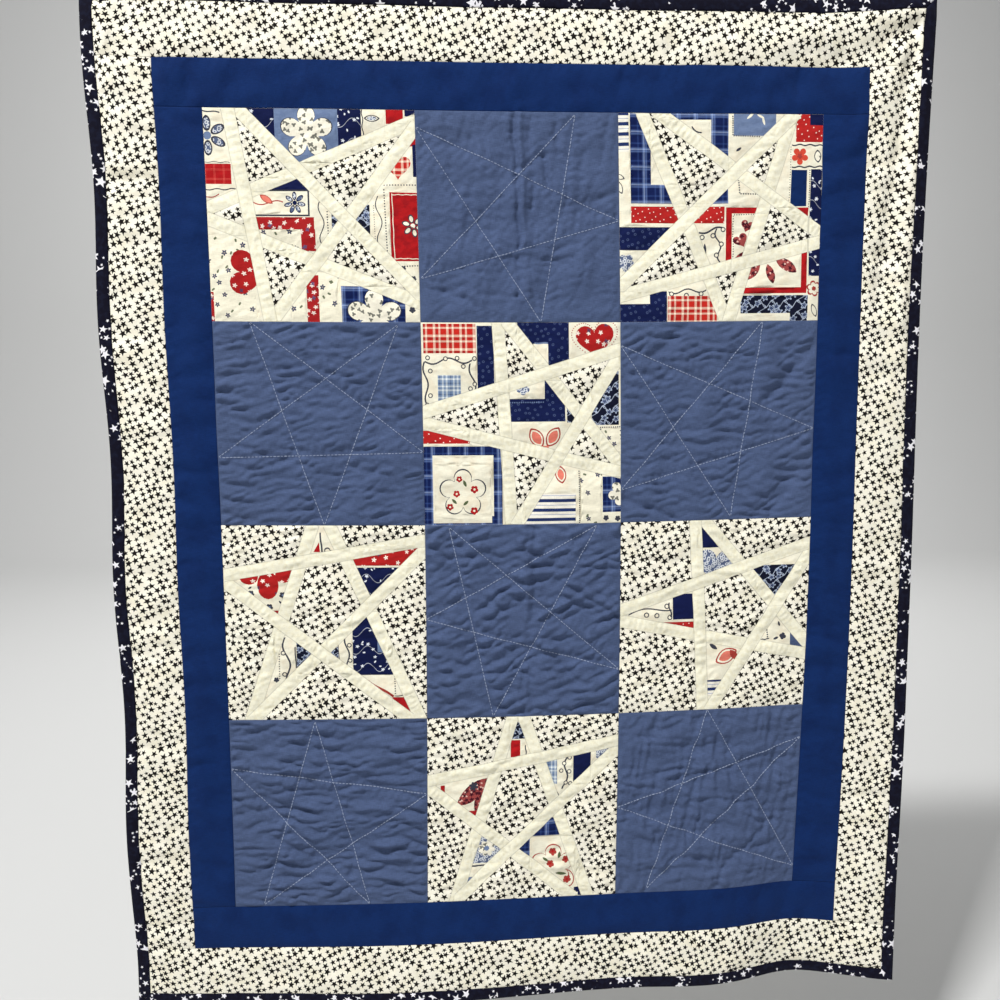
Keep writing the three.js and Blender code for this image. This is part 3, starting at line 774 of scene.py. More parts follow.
def rosettes(cloth, pitch, radius, petals, jitter, kept=1.0, shift=0.0):
    """Small round flowers with scalloped edges."""
    x, y, turn, chance = cloth.cells(pitch, jitter, shift)
    lobes = cloth.math("COSINE", cloth.times(cloth.angle(x, y, turn), float(petals)))
    edge = cloth.times(radius, cloth.plus(0.75, cloth.times(lobes, 0.25)))
    out = cloth.minus(cloth.away(x, y), edge)
    return some(cloth, cloth.between(out, -0.15, 0.2, 1.0, 0.0), chance, kept)


def dots(cloth, pitch, jitter):
    """Round pin dots."""
    x, y, *_ = cloth.cells(pitch, jitter)
    return cloth.between(cloth.away(x, y), 0.45, 0.9, 1.0, 0.0)


def rings(cloth, pitch, radius, line, jitter):
    """Small open circles."""
    x, y, *_ = cloth.cells(pitch, jitter)
    off = cloth.math("ABSOLUTE", cloth.minus(cloth.away(x, y), radius))
    return cloth.between(off, line * 0.5, line, 1.0, 0.0)


def trails(cloth, period, swing, long, line, swap=False):
    """Thin waving stems in rows."""
    x, y = (cloth.y, cloth.x) if swap else (cloth.x, cloth.y)
    wave = cloth.times(cloth.math("SINE", cloth.times(x, 2 * math.pi / long)), swing)
    row = cloth.math("FLOORED_MODULO", cloth.plus(y, wave), period)
    off = cloth.math("ABSOLUTE", cloth.minus(row, period / 2))
    return cloth.between(off, line * 0.4, line, 1.0, 0.0)


def scrolls(cloth):
    """Stems that wave across and down."""
    return cloth.math("MAXIMUM", trails(cloth, 13, 4, 15, 0.9), trails(cloth, 15, 4, 13, 0.8, True))


def woven(cloth, bands, period, blend):
    """A plaid: bands of warp crossing the same bands of weft."""
    warp = cloth.ramp(cloth.math("FRACT", cloth.math("DIVIDE", cloth.x, period)), bands, blend)
    weft = cloth.ramp(cloth.math("FRACT", cloth.math("DIVIDE", cloth.y, period)), bands, blend)
    return cloth.mix(0.5, warp, weft)


print("printed shapes are ready")

# %% [markdown]
# ## The cottons of this quilt
#
# Six cottons make most of it: slate blue for the plain blocks, cream for the strips of
# the stars, royal blue for the inner border, a pale cotton with small black stars,
# near-black with white stars for the binding, and a cream cotton printed with little
# patches of ordinary country motifs. Of the last each patch is a cotton of its own
# here, because the face's net already follows the patches.

# %% The plain cottons
COTTONS = {}


def plain(name, colour, weave=1.0, blotch=None, spot=9):
    cloth = Cloth(name)
    tone = dye(*colour)
    if blotch:
        tone = cloth.mix(cloth.between(cloth.noise(spot, 3), 0.42, 0.68), tone, dye(*blotch))
    COTTONS[name] = cloth.finish(tone, weave)


plain("slate_blue", (77, 92, 126), 2.0)
plain("royal_blue", (16, 43, 94), 1.5, (14, 39, 88), 30)
plain("cream", (241, 236, 214), 0.7, (238, 229, 204), 14)
plain("cream_strip", (244, 240, 217), 0.8, (238, 232, 204), 5)
plain("backing", (228, 224, 211), 0.8, (222, 217, 203))
plain("navy", (17, 25, 68))
plain("red", (176, 26, 30), 0.8, (158, 24, 30))
plain("rose", (226, 124, 106))
plain("sky", (112, 130, 163), 1.2, (104, 122, 156))
plain("ink", (58, 60, 72))
plain("leaf_green", (86, 98, 66))
plain("line_red", (168, 62, 54))
plain("poppy", (212, 76, 56))
plain("thread", (178, 190, 217), 0.0)
print("plain cottons:", len(COTTONS))


# %% The star prints
def star_print():
    cloth = Cloth("tiny_stars")
    patchy = cloth.between(cloth.noise(20, 2), 0.4, 0.7)
    ground = cloth.mix(patchy, dye(248, 243, 226), dye(243, 237, 216))
    black = stars(cloth, 7.9, 4.95, 0.46, 0.42)
    COTTONS["tiny_stars"] = cloth.finish(cloth.mix(black, ground, dye(24, 20, 18)), 0.7)


def night_print():
    cloth = Cloth("night_stars")
    patchy = cloth.between(cloth.noise(6, 2), 0.4, 0.7)
    ground = cloth.mix(patchy, dye(16, 15, 30), dye(22, 24, 42))
    large = stars(cloth, 14.5, 6.2, 0.65, 0.55, 0.85)
    small = rosettes(cloth, 7.0, 1.5, 5, 1.0, 0.55, 31.0)
    groups = cloth.math("GREATER_THAN", cloth.noise(30, 0), 0.5)
    white = cloth.times(cloth.math("MAXIMUM", large, small), groups)
    COTTONS["night_stars"] = cloth.finish(cloth.mix(white, ground, dye(240, 238, 242)), 0.8)


star_print()
night_print()
print("cottons:", len(COTTONS))


# %% Ways to make a small print: motifs in layers, a plaid, and three of their own kind
def printed_with(name, ground, *layers):
    """A ground with motifs printed over it. Each layer is a colour, a shape and its sizes."""
    cloth = Cloth(name)
    tone = dye(*ground)
    for colour, shape, *sizes in layers:
        tone = cloth.mix(shape(cloth, *sizes), tone, dye(*colour))
    COTTONS[name] = cloth.finish(tone)


def plaid(name, colours, bands, period, blend="CONSTANT"):
    """A plaid. Each band is the place where it starts and the number of its colour."""
    cloth = Cloth(name)
    dyed = [dye(*colour) for colour in colours]
    bands = [(place, dyed[number]) for place, number in bands]
    COTTONS[name] = cloth.finish(woven(cloth, bands, period, blend))


def navy_rings():
    cloth = Cloth("navy_rings")
    ring = cloth.times(rings(cloth, 7.6, 1.1, 0.5, 0.6), 0.36)
    COTTONS["navy_rings"] = cloth.finish(cloth.mix(ring, dye(18, 28, 72), dye(112, 130, 172)))


def navy_sprigs():
    cloth = Cloth("navy_sprigs")
    flowers = rosettes(cloth, 13, 2.1, 5, 0.8, 0.75)
    leaves = rosettes(cloth, 8, 1.5, 2, 1.0, 0.4, 9.0)
    white = cloth.math("MAXIMUM", flowers, leaves)
    white = cloth.math("MAXIMUM", white, cloth.times(trails(cloth, 21, 5, 27, 0.5), 0.6))
    COTTONS["navy_sprigs"] = cloth.finish(cloth.mix(white, dye(17, 25, 66), dye(225, 229, 236)))


def ticking():
    cloth = Cloth("ticking")
    white, blue, grey = dye(245, 240, 226), dye(36, 52, 100), dye(150, 160, 190)
    place = cloth.math("FRACT", cloth.math("DIVIDE", cloth.y, 11.0))
    COTTONS["ticking"] = cloth.finish(
        cloth.ramp(place, [(0, blue), (0.34, white), (0.62, grey), (0.68, white)], "CONSTANT"))


print("ways to print are ready")

# %% The small prints of the patches
navy_rings()
navy_sprigs()
plaid("blue_plaid", [(16, 30, 78), (52, 76, 132), (176, 192, 224), (110, 134, 186)],
      [(0, 0), (0.08, 0), (0.15, 1), (0.22, 0), (0.36, 0), (0.45, 3), (0.50, 2), (0.55, 1),
       (0.62, 3), (0.70, 0), (0.92, 0)], 19.0, "LINEAR")
plaid("light_check", [(120, 142, 172), (226, 232, 232), (60, 76, 110)],
      [(0, 1), (0.16, 0), (0.40, 2), (0.50, 0), (0.66, 1), (0.80, 0)], 12.5)
plaid("red_gingham", [(200, 42, 34), (250, 234, 208), (132, 30, 34)],
      [(0, 0), (0.28, 1), (0.46, 0), (0.52, 2), (0.60, 0), (0.70, 1), (0.84, 0)], 15.0)
plaid("red_check", [(176, 26, 30), (226, 96, 84)],
      [(0, 0), (0.62, 1), (0.68, 0), (0.74, 1), (0.8, 0)], 10.0)
printed_with("red_dots", (184, 38, 36), ((250, 236, 224), dots, 6.6, 0.45))
printed_with("red_flowers", (172, 32, 32), ((244, 226, 212), rosettes, 12, 2.7, 5, 0.8, 0.8),
             ((92, 62, 90), rosettes, 15, 2.6, 4, 0.9, 0.3, 23.0))
printed_with("red_posies", (168, 34, 36), ((240, 222, 210), rosettes, 8.6, 2.6, 5, 0.8, 0.75),
             ((104, 84, 118), rosettes, 9.5, 2.5, 4, 0.9, 0.4, 23.0))
ticking()
printed_with("night_scroll", (18, 22, 42), ((176, 186, 204), scrolls),
             ((168, 180, 202), rosettes, 11, 4.2, 5, 0.7), ((60, 72, 104), rosettes, 11, 2.6, 5, 0.7))
printed_with("cream_sprigs", (244, 238, 214), ((104, 112, 86), rosettes, 11, 1.9, 2, 1.0, 0.4, 13.0),
             ((48, 56, 88), rosettes, 17, 3.1, 5, 0.75, 0.85),
             ((170, 160, 150), rosettes, 17, 1.0, 5, 0.75, 0.85))
printed_with("grey_posies", (248, 242, 222), ((120, 120, 110), rosettes, 7.5, 2.6, 3, 0.9, 0.85))
printed_with("wine_flowers", (160, 72, 70), ((72, 22, 34), rosettes, 6.0, 2.9, 5, 0.9, 0.9),
             ((232, 190, 176), rosettes, 5.0, 1.3, 5, 0.9, 0.55, 17.0))
printed_with("blue_lace", (88, 100, 130), ((212, 216, 220), rings, 4.4, 1.5, 0.8, 0.9))
FABRICS = list(COTTONS)
print("cottons in all:", len(FABRICS))

# %% [markdown]
# ## Motifs of the printed patches
#
# The printed cotton shows hearts, flowers, leaves, stems and framed squares, the stock
# of country prints. Each motif is a flat outline that a short formula draws, in
# thousandths of a block. Later shapes lie over earlier ones.

# %% Outlines of the motifs
def box(x0, y0, x1, y1):
    return [(x0, y0), (x1, y0), (x1, y1), (x0, y1)]


def turned(points, x, y, turn):
    """An outline drawn round the origin, turned and moved to a place."""
    c, s = math.cos(turn), math.sin(turn)
    return [(x + u * c - v * s, y + u * s + v * c) for u, v in points]


def round_it(x, y, turn, reach, count):
    """An outline round a point, whose distance at each angle reach() gives."""
    angles = [2 * math.pi * k / count for k in range(count)]
    return [(x + reach(a) * math.cos(a + turn), y + reach(a) * math.sin(a + turn)) for a in angles]


def oval(x, y, long, turn, wide):
    return round_it(x, y, turn, lambda a: long / 2 / math.hypot(math.cos(a), math.sin(a) / wide), 20)


def flower(x, y, r, petals, turn=0.3, dent=0.3):
    def reach(a):
        return r * (1 - dent + dent * abs(math.cos(petals * a / 2)) ** 0.7)

    return round_it(x, y, turn, reach, 12 * petals)


def heart(x, y, r, turn=0.0):
    points = []
    for k in range(36):
        a = 2 * math.pi * k / 36
        high = 13 * math.cos(a) - 5 * math.cos(2 * a) - 2 * math.cos(3 * a) - math.cos(4 * a)
        points.append((16 * math.sin(a) ** 3 / 17 * r, -high / 17 * r))
    return turned(points, x, y, turn)


def leaf(x, y, long, turn=0.0, wide=0.42):
    points = []
    for a in np.linspace(0, 2 * math.pi, 20)[:-1]:
        aside = wide * long / 2 * math.sin(a) * abs(math.sin(a)) ** 0.6
        points.append((long / 2 * math.cos(a), aside))
    return turned(points, x, y, turn)


def stem(x0, y0, x1, y1, swing, waves, line=5):
    """A thin waving ribbon between two points."""
    long = math.dist((x0, y0), (x1, y1))
    ux, uy = (x1 - x0) / long, (y1 - y0) / long
    near, far = [], []
    for k in np.linspace(0, 1, 6 + int(8 * waves)):
        off = swing * math.sin(2 * math.pi * waves * k)
        for side, half in ((near, -line / 2), (far, line / 2)):
            aside = off + half
            side.append((x0 + ux * long * k - uy * aside, y0 + uy * long * k + ux * aside))
    return near + far[::-1]


print("a heart has", len(heart(0, 0, 1)), "points")


# %% Motifs that are printed as one, each as a list of cottons and outlines
def each(fabric, shape, *sizes):
    """Several motifs of one kind in one cotton."""
    return [(fabric, shape(*size)) for size in sizes]


def dotted(fabric, path, pitch=13, size=6):
    """A row of small dots along a path."""
    dots_made = []
    for (x0, y0), (x1, y1) in zip(path, path[1:]):
        count = max(1, round(math.dist((x0, y0), (x1, y1)) / pitch))
        for k in np.arange(0.5, count) / count:
            x, y = x0 + (x1 - x0) * k, y0 + (y1 - y0) * k
            dots_made.append((fabric, box(x - size / 2, y - size / 2, x + size / 2, y + size / 2)))
    return dots_made


def framed(fabric, inside, x0, y0, x1, y1, wide):
    inner = box(x0 + wide, y0 + wide, x1 - wide, y1 - wide)
    return [(fabric, box(x0, y0, x1, y1)), (inside, inner)]


def outlined(ink, inside, shape, line):
    """A motif drawn as a line: its outline in ink with a smaller one inside."""
    middle = np.mean(shape, axis=0)
    reach = max(np.hypot(*(np.array(shape) - middle).T))
    smaller = middle + (np.array(shape) - middle) * (1 - line / reach)
    return [(ink, shape), (inside, [tuple(p) for p in smaller])]


def curls(spots, r):
    """Small open loops beside a stem."""
    loops = []
    for x, y in spots:
        loops += outlined("ink", "cream", round_it(x, y, 0, lambda a: r, 12), 0.4 * r)
    return loops


def daisy(x, y, r, petals, ink, inside, heart_of, turn, wide):
    """A flower of separate outlined petals."""
    shapes = []
    for k in range(petals):
        a = turn + 2 * math.pi * k / petals
        px, py = x + 0.62 * r * math.cos(a), y + 0.62 * r * math.sin(a)
        shapes += outlined(ink, inside, oval(px, py, 0.8 * r, a, wide), 0.09 * r + 2)
    return [*shapes, (heart_of, oval(x, y, 0.42 * r, 0, 1.0))]


def posies(fabric, centre, *spots, petals=5):
    """Flowers with a centre of another cotton, each given by its place and radius."""
    shapes = []
    for x, y, r in spots:
        shapes += [(fabric, flower(x, y, r, petals)), (centre, flower(x, y, r * 0.32, petals))]
    return shapes


def bud(x, y, long, core, turn, line=10):
    """A leaf outlined in red, with a rose one inside."""
    outer = outlined("line_red", "cream", leaf(x, y, long, turn, 0.62), line)
    return [*outer, ("rose", leaf(x, y, core, turn, 0.6))]


print("a row of 100 has", len(dotted("ink", [(0, 0), (100, 0)])), "dots")

# %% [markdown]
# Each pieced block now gets its list of patches and motifs. On the three upper blocks
# the printed cotton is the ground and the middle of the star, on the three lower ones
# it only shows in the star's tips.

# %% Printed patches of the first two upper blocks
PRINT = {}
PRINT["star_block_1"] = [
    *daisy(18, 128, 92, 6, "ink", "blue_lace", "sky", 0.5, 0.55), ("ink", stem(0, 14, 80, 22, 3, 1, 6)),
    ("red_check", box(0, 258, 122, 352)),
    *each("ink", stem, (0, 250, 118, 252, 2, 2, 3), (0, 378, 140, 374, 3, 2)),
    ("line_red", stem(0, 412, 60, 398, 8, 0.5)), ("navy_sprigs", box(205, 0, 334, 240)),
    ("sky", box(334, 0, 633, 250)),
    *outlined("ink", "grey_posies", flower(486, 110, 128, 5, 0.94, 0.55), 5),
    ("navy_sprigs", box(633, 0, 744, 200)), ("cream", box(744, 0, 856, 160)),
    *outlined("ink", "cream", leaf(796, 42, 76), 9), ("blue_lace", leaf(796, 42, 48)),
    ("ink", stem(750, 0, 752, 130, 3, 2)), ("red", box(862, 0, 944, 66)),
    *each("navy", box, (952, 0, 1000, 30), (250, 322, 478, 374)), ("ink", box(205, 374, 486, 500)),
    ("cream", box(212, 382, 478, 492)), ("line_red", stem(214, 432, 360, 440, 12, 0.9, 6)),
    *outlined("line_red", "rose", leaf(282, 420, 74, 0.6), 8),
    *daisy(416, 436, 52, 7, "navy", "blue_lace", "navy", 0.2, 0.5),
    *each("red_posies", box, (208, 504, 505, 562), (440, 560, 508, 662)),
    ("cream_sprigs", box(200, 562, 438, 664)), ("ink", stem(538, 420, 542, 640, 12, 1.5)),
    *dotted("ink", [(568, 470), (570, 610)]),
    *each("night_scroll", box, (588, 480, 640, 600), (705, 440, 770, 600)),
    ("ink", stem(812, 400, 818, 650, 14, 1.5)), *dotted("ink", [(790, 440), (794, 640)], 11, 4),
    ("red", box(960, 120, 1000, 168)), ("red_gingham", heart(912, 262, 66)),
    ("navy", box(984, 160, 1000, 310)), *dotted("ink", [(838, 352), (1000, 348)]),
    *dotted("ink", [(842, 366), (850, 690)]), ("red", box(868, 384, 1000, 706)),
    *daisy(976, 540, 54, 6, "ink", "cream", "grey_posies", 0.3, 0.6),
    *each("cream", stem, (880, 390, 884, 700, 1, 3, 4), (880, 396, 1000, 394, 1, 3, 4),
          (884, 694, 1000, 696, 1, 3, 4)), *dotted("ink", [(900, 732), (1000, 728)]),
    ("cream_sprigs", box(0, 590, 216, 1000)), ("red_flowers", heart(176, 766, 112, -1.5)),
    ("red_posies", box(0, 860, 14, 1000)), ("cream_sprigs", box(380, 760, 610, 1000)),
    ("red_posies", box(456, 776, 514, 1000)), ("blue_plaid", box(622, 828, 928, 1000)),
    *outlined("ink", "grey_posies", flower(778, 972, 136, 5, -1.57, 0.55), 5),
    *each("ink", flower, (962, 940, 16, 5), (972, 790, 14, 5), (925, 740, 12, 5)),
]
PRINT["star_block_2"] = [
    ("ticking", box(0, 0, 50, 184)), *outlined("ink", "cream", leaf(2, 350, 70, 1.2), 8),
    *outlined("ink", "cream", leaf(0, 300, 60, 0.4), 8), ("blue_plaid", box(57, 0, 535, 428)),
    ("cream", box(157, 30, 450, 338)), ("ink", stem(356, 62, 404, 92, 9, 0.5, 7)),
    ("sky", box(560, 0, 766, 104)),
    *each("cream", leaf, (640, 10, 44, -0.7, 0.28), (690, 12, 40, 0.5, 0.3), (704, 34, 44, 1.3, 0.26)),
    *dotted("ink", [(554, 8), (556, 104), (690, 108)], 11), ("ink", leaf(586, 168, 32, -0.6, 0.4)),
    ("red_dots", box(57, 442, 518, 522)), ("navy_rings", box(0, 540, 272, 650)),
    *each("ink", stem, (392, 568, 512, 544, 8, 1, 9), (480, 548, 500, 712, 12, 1.5, 8)),
    *curls([(408, 590), (462, 582), (512, 552), (504, 622), (480, 676)], 13),
    ("ink", leaf(424, 650, 62, 1.5, 0.24)), *dotted("ink", [(586, 310), (590, 382), (700, 382)], 12, 7),
    *framed("red", "cream", 526, 446, 936, 864, 29),
    *dotted("ink", [(562, 690), (562, 482), (690, 478)], 12, 5),
    *each("wine_flowers", heart, (632, 534, 34, 0.3), (600, 604, 40, -0.5)),
    *each("wine_flowers", leaf, (600, 690, 96, -0.7), (668, 752, 110, 2.2), (752, 768, 100, 1.3),
          (830, 726, 126, 0.6)),
    ("red_dots", box(866, 0, 1000, 132)), ("navy", box(934, 0, 1000, 52)),
    ("ink", stem(846, 146, 1000, 148, 3, 3, 7)), ("poppy", flower(886, 200, 42, 5, 0.3, 0.5)),
    ("line_red", flower(886, 200, 14, 5, 0.3, 0.5)),
    *outlined("ink", "grey_posies", leaf(976, 200, 62, 1.5, 0.6), 7),
    ("ink", stem(846, 252, 1000, 250, 3, 3, 7)), ("royal_blue", box(846, 266, 924, 440)),
    *dotted("ink", [(938, 262), (936, 446)], 11, 5), *dotted("ink", [(842, 150), (838, 440)], 12, 4),
    ("navy_sprigs", box(944, 262, 1000, 780)), ("blue_lace", flower(30, 712, 44, 5)),
    ("navy_rings", box(0, 850, 234, 1000)), ("cream", box(0, 850, 148, 912)),
    ("ink", stem(242, 854, 430, 846, 10, 1.5, 7)), *curls([(256, 864), (330, 872), (404, 864)], 13),
    ("red_gingham", box(238, 874, 486, 1000)),
    *each("night_scroll", box, (604, 874, 944, 962), (856, 960, 944, 1000)),
    *outlined("line_red", "cream", flower(974, 842, 40, 6), 9), ("line_red", flower(974, 842, 12, 6)),
    *outlined("ink", "cream", leaf(978, 950, 70, 1.2), 8),
]
print("motifs:", {name: len(shapes) for name, shapes in PRINT.items()})

# %% Printed patches of the middle block
PRINT["star_block_3"] = [
    ("red_gingham", box(10, 6, 270, 150)), ("navy_rings", box(276, 16, 360, 336)),
    *each("ink", stem, (16, 190, 250, 184, 14, 1.5, 8), (14, 190, 26, 410, 10, 1.5, 8),
          (240, 200, 262, 340, 10, 1, 8)),
    *curls([(30, 172), (118, 176), (176, 174), (262, 176), (42, 236), (40, 356), (24, 402),
            (206, 214), (262, 300), (240, 322)], 12), ("light_check", box(78, 256, 192, 392)),
    ("navy_rings", box(480, 0, 740, 210)), ("cream", box(560, 104, 634, 210)),
    ("sky", stem(566, 100, 634, 102, 2, 1, 8)), *dotted("line_red", heart(872, 84, 124, -0.12), 13, 5),
    ("red_flowers", heart(872, 84, 102, -0.12)), ("navy_rings", box(433, 284, 717, 486)),
    ("cream", box(428, 284, 614, 374)), ("blue_lace", flower(504, 322, 34, 5)),
    *dotted("sky", [(434, 392), (612, 390)], 11, 6), *dotted("ink", [(370, 190), (368, 310)], 12, 5),
    ("night_scroll", box(726, 400, 790, 492)), *bud(570, 566, 112, 74, 1.0),
    *bud(654, 562, 112, 74, -1.0), ("rose", box(596, 606, 632, 624)),
    ("night_scroll", box(852, 240, 990, 506)), *dotted("ink", [(890, 518), (1000, 516)], 11),
    ("cream_sprigs", box(890, 524, 1000, 640)), ("red_dots", box(0, 528, 232, 592)),
    *framed("blue_plaid", "cream", 0, 606, 394, 1000, 44), ("cream", box(44, 694, 340, 990)),
    *outlined("ink", "cream", flower(194, 838, 122, 5, 0.94, 0.4), 7),
    *posies("red", "cream", (176, 768, 16), (162, 842, 18), (252, 820, 20), (128, 908, 18),
            (250, 928, 20)),
    *each("leaf_green", leaf, (204, 790, 36, 1.2), (208, 888, 34, 2.4), (150, 880, 34, 0.8)),
    ("ticking", box(500, 846, 768, 1000)), *bud(692, 750, 92, 56, 1.4, 9),
    *dotted("ink", [(786, 730), (788, 1000)], 11), ("cream_sprigs", box(792, 730, 904, 1000)),
    ("blue_plaid", box(906, 764, 1000, 944)), ("grey_posies", flower(996, 850, 62, 5, 0.4, 0.4)),
    *each("ink", flower, (924, 974, 15, 5), (984, 978, 15, 5)),
]
print("motifs of the middle block:", len(PRINT["star_block_3"]))

# %% Printed patches that show in the tips of the lower blocks
PRINT["star_block_4"] = [
    *each("red_flowers", oval, (124, 258, 94, 0, 0.9), (304, 244, 106, -0.6, 0.8),
          (218, 302, 142, 1.57, 0.74)), *posies("ink", "sky", (132, 346, 17), (289, 353, 17), (222, 414, 18)),
    *each("ink", leaf, (128, 316, 22, -0.6), (276, 390, 22, 0.9)),
    ("red_flowers", box(222, 432, 282, 492)), ("red", [(474, 84), (478, 134), (446, 134)]),
    ("ink", stem(481, 36, 488, 136, 1, 1, 8)), *outlined("ink", "cream", flower(516, 134, 24, 3), 7),
    ("red_flowers", box(630, 110, 960, 204)), ("navy_sprigs", box(630, 214, 900, 400)),
    ("cream", box(500, 500, 628, 760)),
    *each("ink", stem, (556, 590, 560, 706, 1, 1, 4), (596, 550, 604, 722, 10, 1.2, 8)),
    *curls([(612, 610), (614, 690)], 12), ("navy_sprigs", box(628, 440, 828, 768)),
    ("sky", box(752, 560, 800, 650)), ("line_red", stem(700, 800, 830, 880, 3, 1, 14)),
    *dotted("ink", [(836, 772), (840, 868)], 12), ("ink", stem(838, 876, 900, 874, 1, 1, 5)),
    ("red", box(824, 884, 960, 980)), ("cream", box(240, 540, 340, 800)),
    ("ink", stem(292, 570, 306, 790, 15, 1.2, 9)), *curls([(282, 650), (286, 762)], 13),
    *dotted("ink", [(262, 650), (260, 790)]), ("ink", stem(342, 618, 344, 730, 1, 1, 6)),
    ("night_scroll", box(348, 590, 430, 760)), ("ink", flower(244, 790, 14, 5)),
    ("night_scroll", box(512, 620, 556, 690)),
]
PRINT["star_block_5"] = [
    ("navy", box(405, 20, 540, 142)), ("blue_lace", heart(500, 232, 108, 0.1)),
    ("blue_lace", leaf(560, 256, 130, 0.3, 0.4)), ("night_scroll", box(720, 244, 960, 460)),
    ("navy", box(690, 250, 722, 330)), *dotted("ink", [(786, 560), (792, 640)], 12, 7),
    ("ink", leaf(850, 556, 30, 1.2, 0.4)), ("ink", flower(872, 622, 18, 4)),
    ("ink", leaf(836, 632, 30, 2.8)), ("ink", stem(744, 640, 800, 634, 2, 2, 6)),
    ("slate_blue", box(914, 606, 1000, 690)),
    *outlined("line_red", "cream", leaf(570, 716, 128, -0.5, 0.6), 10),
    ("rose", leaf(570, 716, 84, -0.5, 0.58)), ("line_red", leaf(612, 712, 70, 0.9, 0.5)),
    ("ink", leaf(500, 664, 50, 0.6)), ("ticking", box(466, 842, 560, 926)),
    ("ink", stem(44, 482, 268, 446, -16, 0.75, 7)),
    *curls([(138, 484), (192, 488), (246, 442), (262, 500)], 14),
    ("ink", stem(258, 424, 268, 500, 4, 1, 8)), ("navy", box(278, 380, 398, 512)),
    ("red_dots", box(150, 526, 398, 620)),
]
PRINT["star_block_6"] = [
    ("night_scroll", box(430, 30, 520, 122)), ("red", box(434, 128, 484, 218)),
    ("ink", stem(512, 158, 514, 206, 2, 1, 6)), ("light_check", box(606, 240, 678, 370)),
    ("ink", stem(732, 230, 716, 400, 12, 1.2, 9)),
    *curls([(716, 262), (744, 232), (700, 300), (742, 306), (724, 366), (748, 372)], 12),
    ("ink", leaf(672, 420, 50, 0.8, 0.4)), ("navy", box(764, 200, 856, 380)),
    ("blue_lace", box(884, 180, 960, 240)), ("red", box(68, 366, 90, 420)),
    *each("wine_flowers", leaf, (236, 403, 220, -0.73, 0.36), (281, 447, 190, 1.81, 0.37)),
    ("ink", flower(240, 372, 24, 6, 0.3, 0.5)), ("ink", leaf(46, 384, 30, 0.6)),
    ("red", box(206, 506, 300, 532)), ("blue_lace", box(236, 640, 400, 800)),
    *posies("grey_posies", "sky", (310, 716, 46), petals=8), ("ink", stem(220, 812, 320, 816, 2, 1, 8)),
    ("sky", box(180, 872, 260, 960)), *framed("blue_plaid", "cream", 440, 560, 900, 1060, 98),
    ("cream", box(538, 664, 780, 990)),
    *outlined("line_red", "cream", oval(726, 896, 116, 0.9, 0.8), 6),
    *outlined("line_red", "cream", flower(663, 822, 118, 5, -1.57, 0.42), 7),
    *posies("line_red", "red", (660, 746, 21), (647, 812, 20), (730, 790, 21)),
    *each("leaf_green", leaf, (694, 764, 36, 1.8), (622, 790, 36, 0.6)),
    *posies("line_red", "red", (738, 904, 22)), ("leaf_green", leaf(704, 868, 60, 0.1, 0.3)),
    ("navy", box(776, 950, 900, 1000)),
]
print("motifs in all:", sum(len(shapes) for shapes in PRINT.values()))


# %% [markdown]
# ## The twelve blocks
#
# For a pieced block the net is cut along both seams of each strip and round every
# motif. Each triangle then finds its own cotton: a strip is cream, and elsewhere it
# depends on whether the star goes round the triangle once, as in a tip, or not.

# %% Cut motifs and lines off at the block's edge
# How far inside the edge a motif and a cut end, in millimetres.
MOTIF_GAP, CUT_GAP = 0.05, 0.3


def clipped(shape):
    """The part of a motif inside the block, in millimetres."""
    points = [in_mm(p) for p in shape]
    low, high = MOTIF_GAP, BLOCK - MOTIF_GAP
    for axis, limit, sign in ((0, low, 1), (0, high, -1), (1, low, 1), (1, high, -1)):
        kept = []
        for p, q in zip(points, points[1:] + points[:1]):
            dp, dq = sign * (p[axis] - limit), sign * (q[axis] - limit)
            if dp > 0:
                kept.append(p)
            if dp * dq < 0:
                k = dp / (dp - dq)
                kept.append((p[0] + k * (q[0] - p[0]), p[1] + k * (q[1] - p[1])))
        points = kept
        if len(points) < 3:
            return []
    return points


def trimmed(x0, y0, x1, y1):
    """The part of a line inside the block, or nothing."""
    low, high = 0.0, 1.0
    dx, dy = x1 - x0, y1 - y0
    for a, d in ((x0, dx), (y0, dy)):
        if abs(d) < 1e-9:
            continue
        k = sorted(((CUT_GAP - a) / d, (BLOCK - CUT_GAP - a) / d))
        low, high = max(low, k[0]), min(high, k[1])
    if high - low < 0.02:
        return None
    return [(x0 + low * dx, y0 + low * dy), (x0 + high * dx, y0 + high * dy)]


def cuts_along(lines):
    return [ends for ends in (trimmed(*line) for line in lines) if ends]


def seams_of(line):
    """The two seams beside the middle line of a strip."""
    ax, ay, bx, by = line
    long = math.hypot(bx - ax, by - ay)
    nx, ny = -(by - ay) / long * STRIP / 2, (bx - ax) / long * STRIP / 2
    return [(ax + side * nx, ay + side * ny, bx + side * nx, by + side * ny) for side in (-1, 1)]


def block_corners(name):
    i = list(LINES).index(name)
    s, t = -GRID_W / 2 + BLOCK * (i % COLUMNS), TOP + BLOCK * (i // COLUMNS)
    return box(s, t, s + BLOCK, t + BLOCK)


print("the first block starts at", np.round(block_corners("star_block_1")[0], 1))


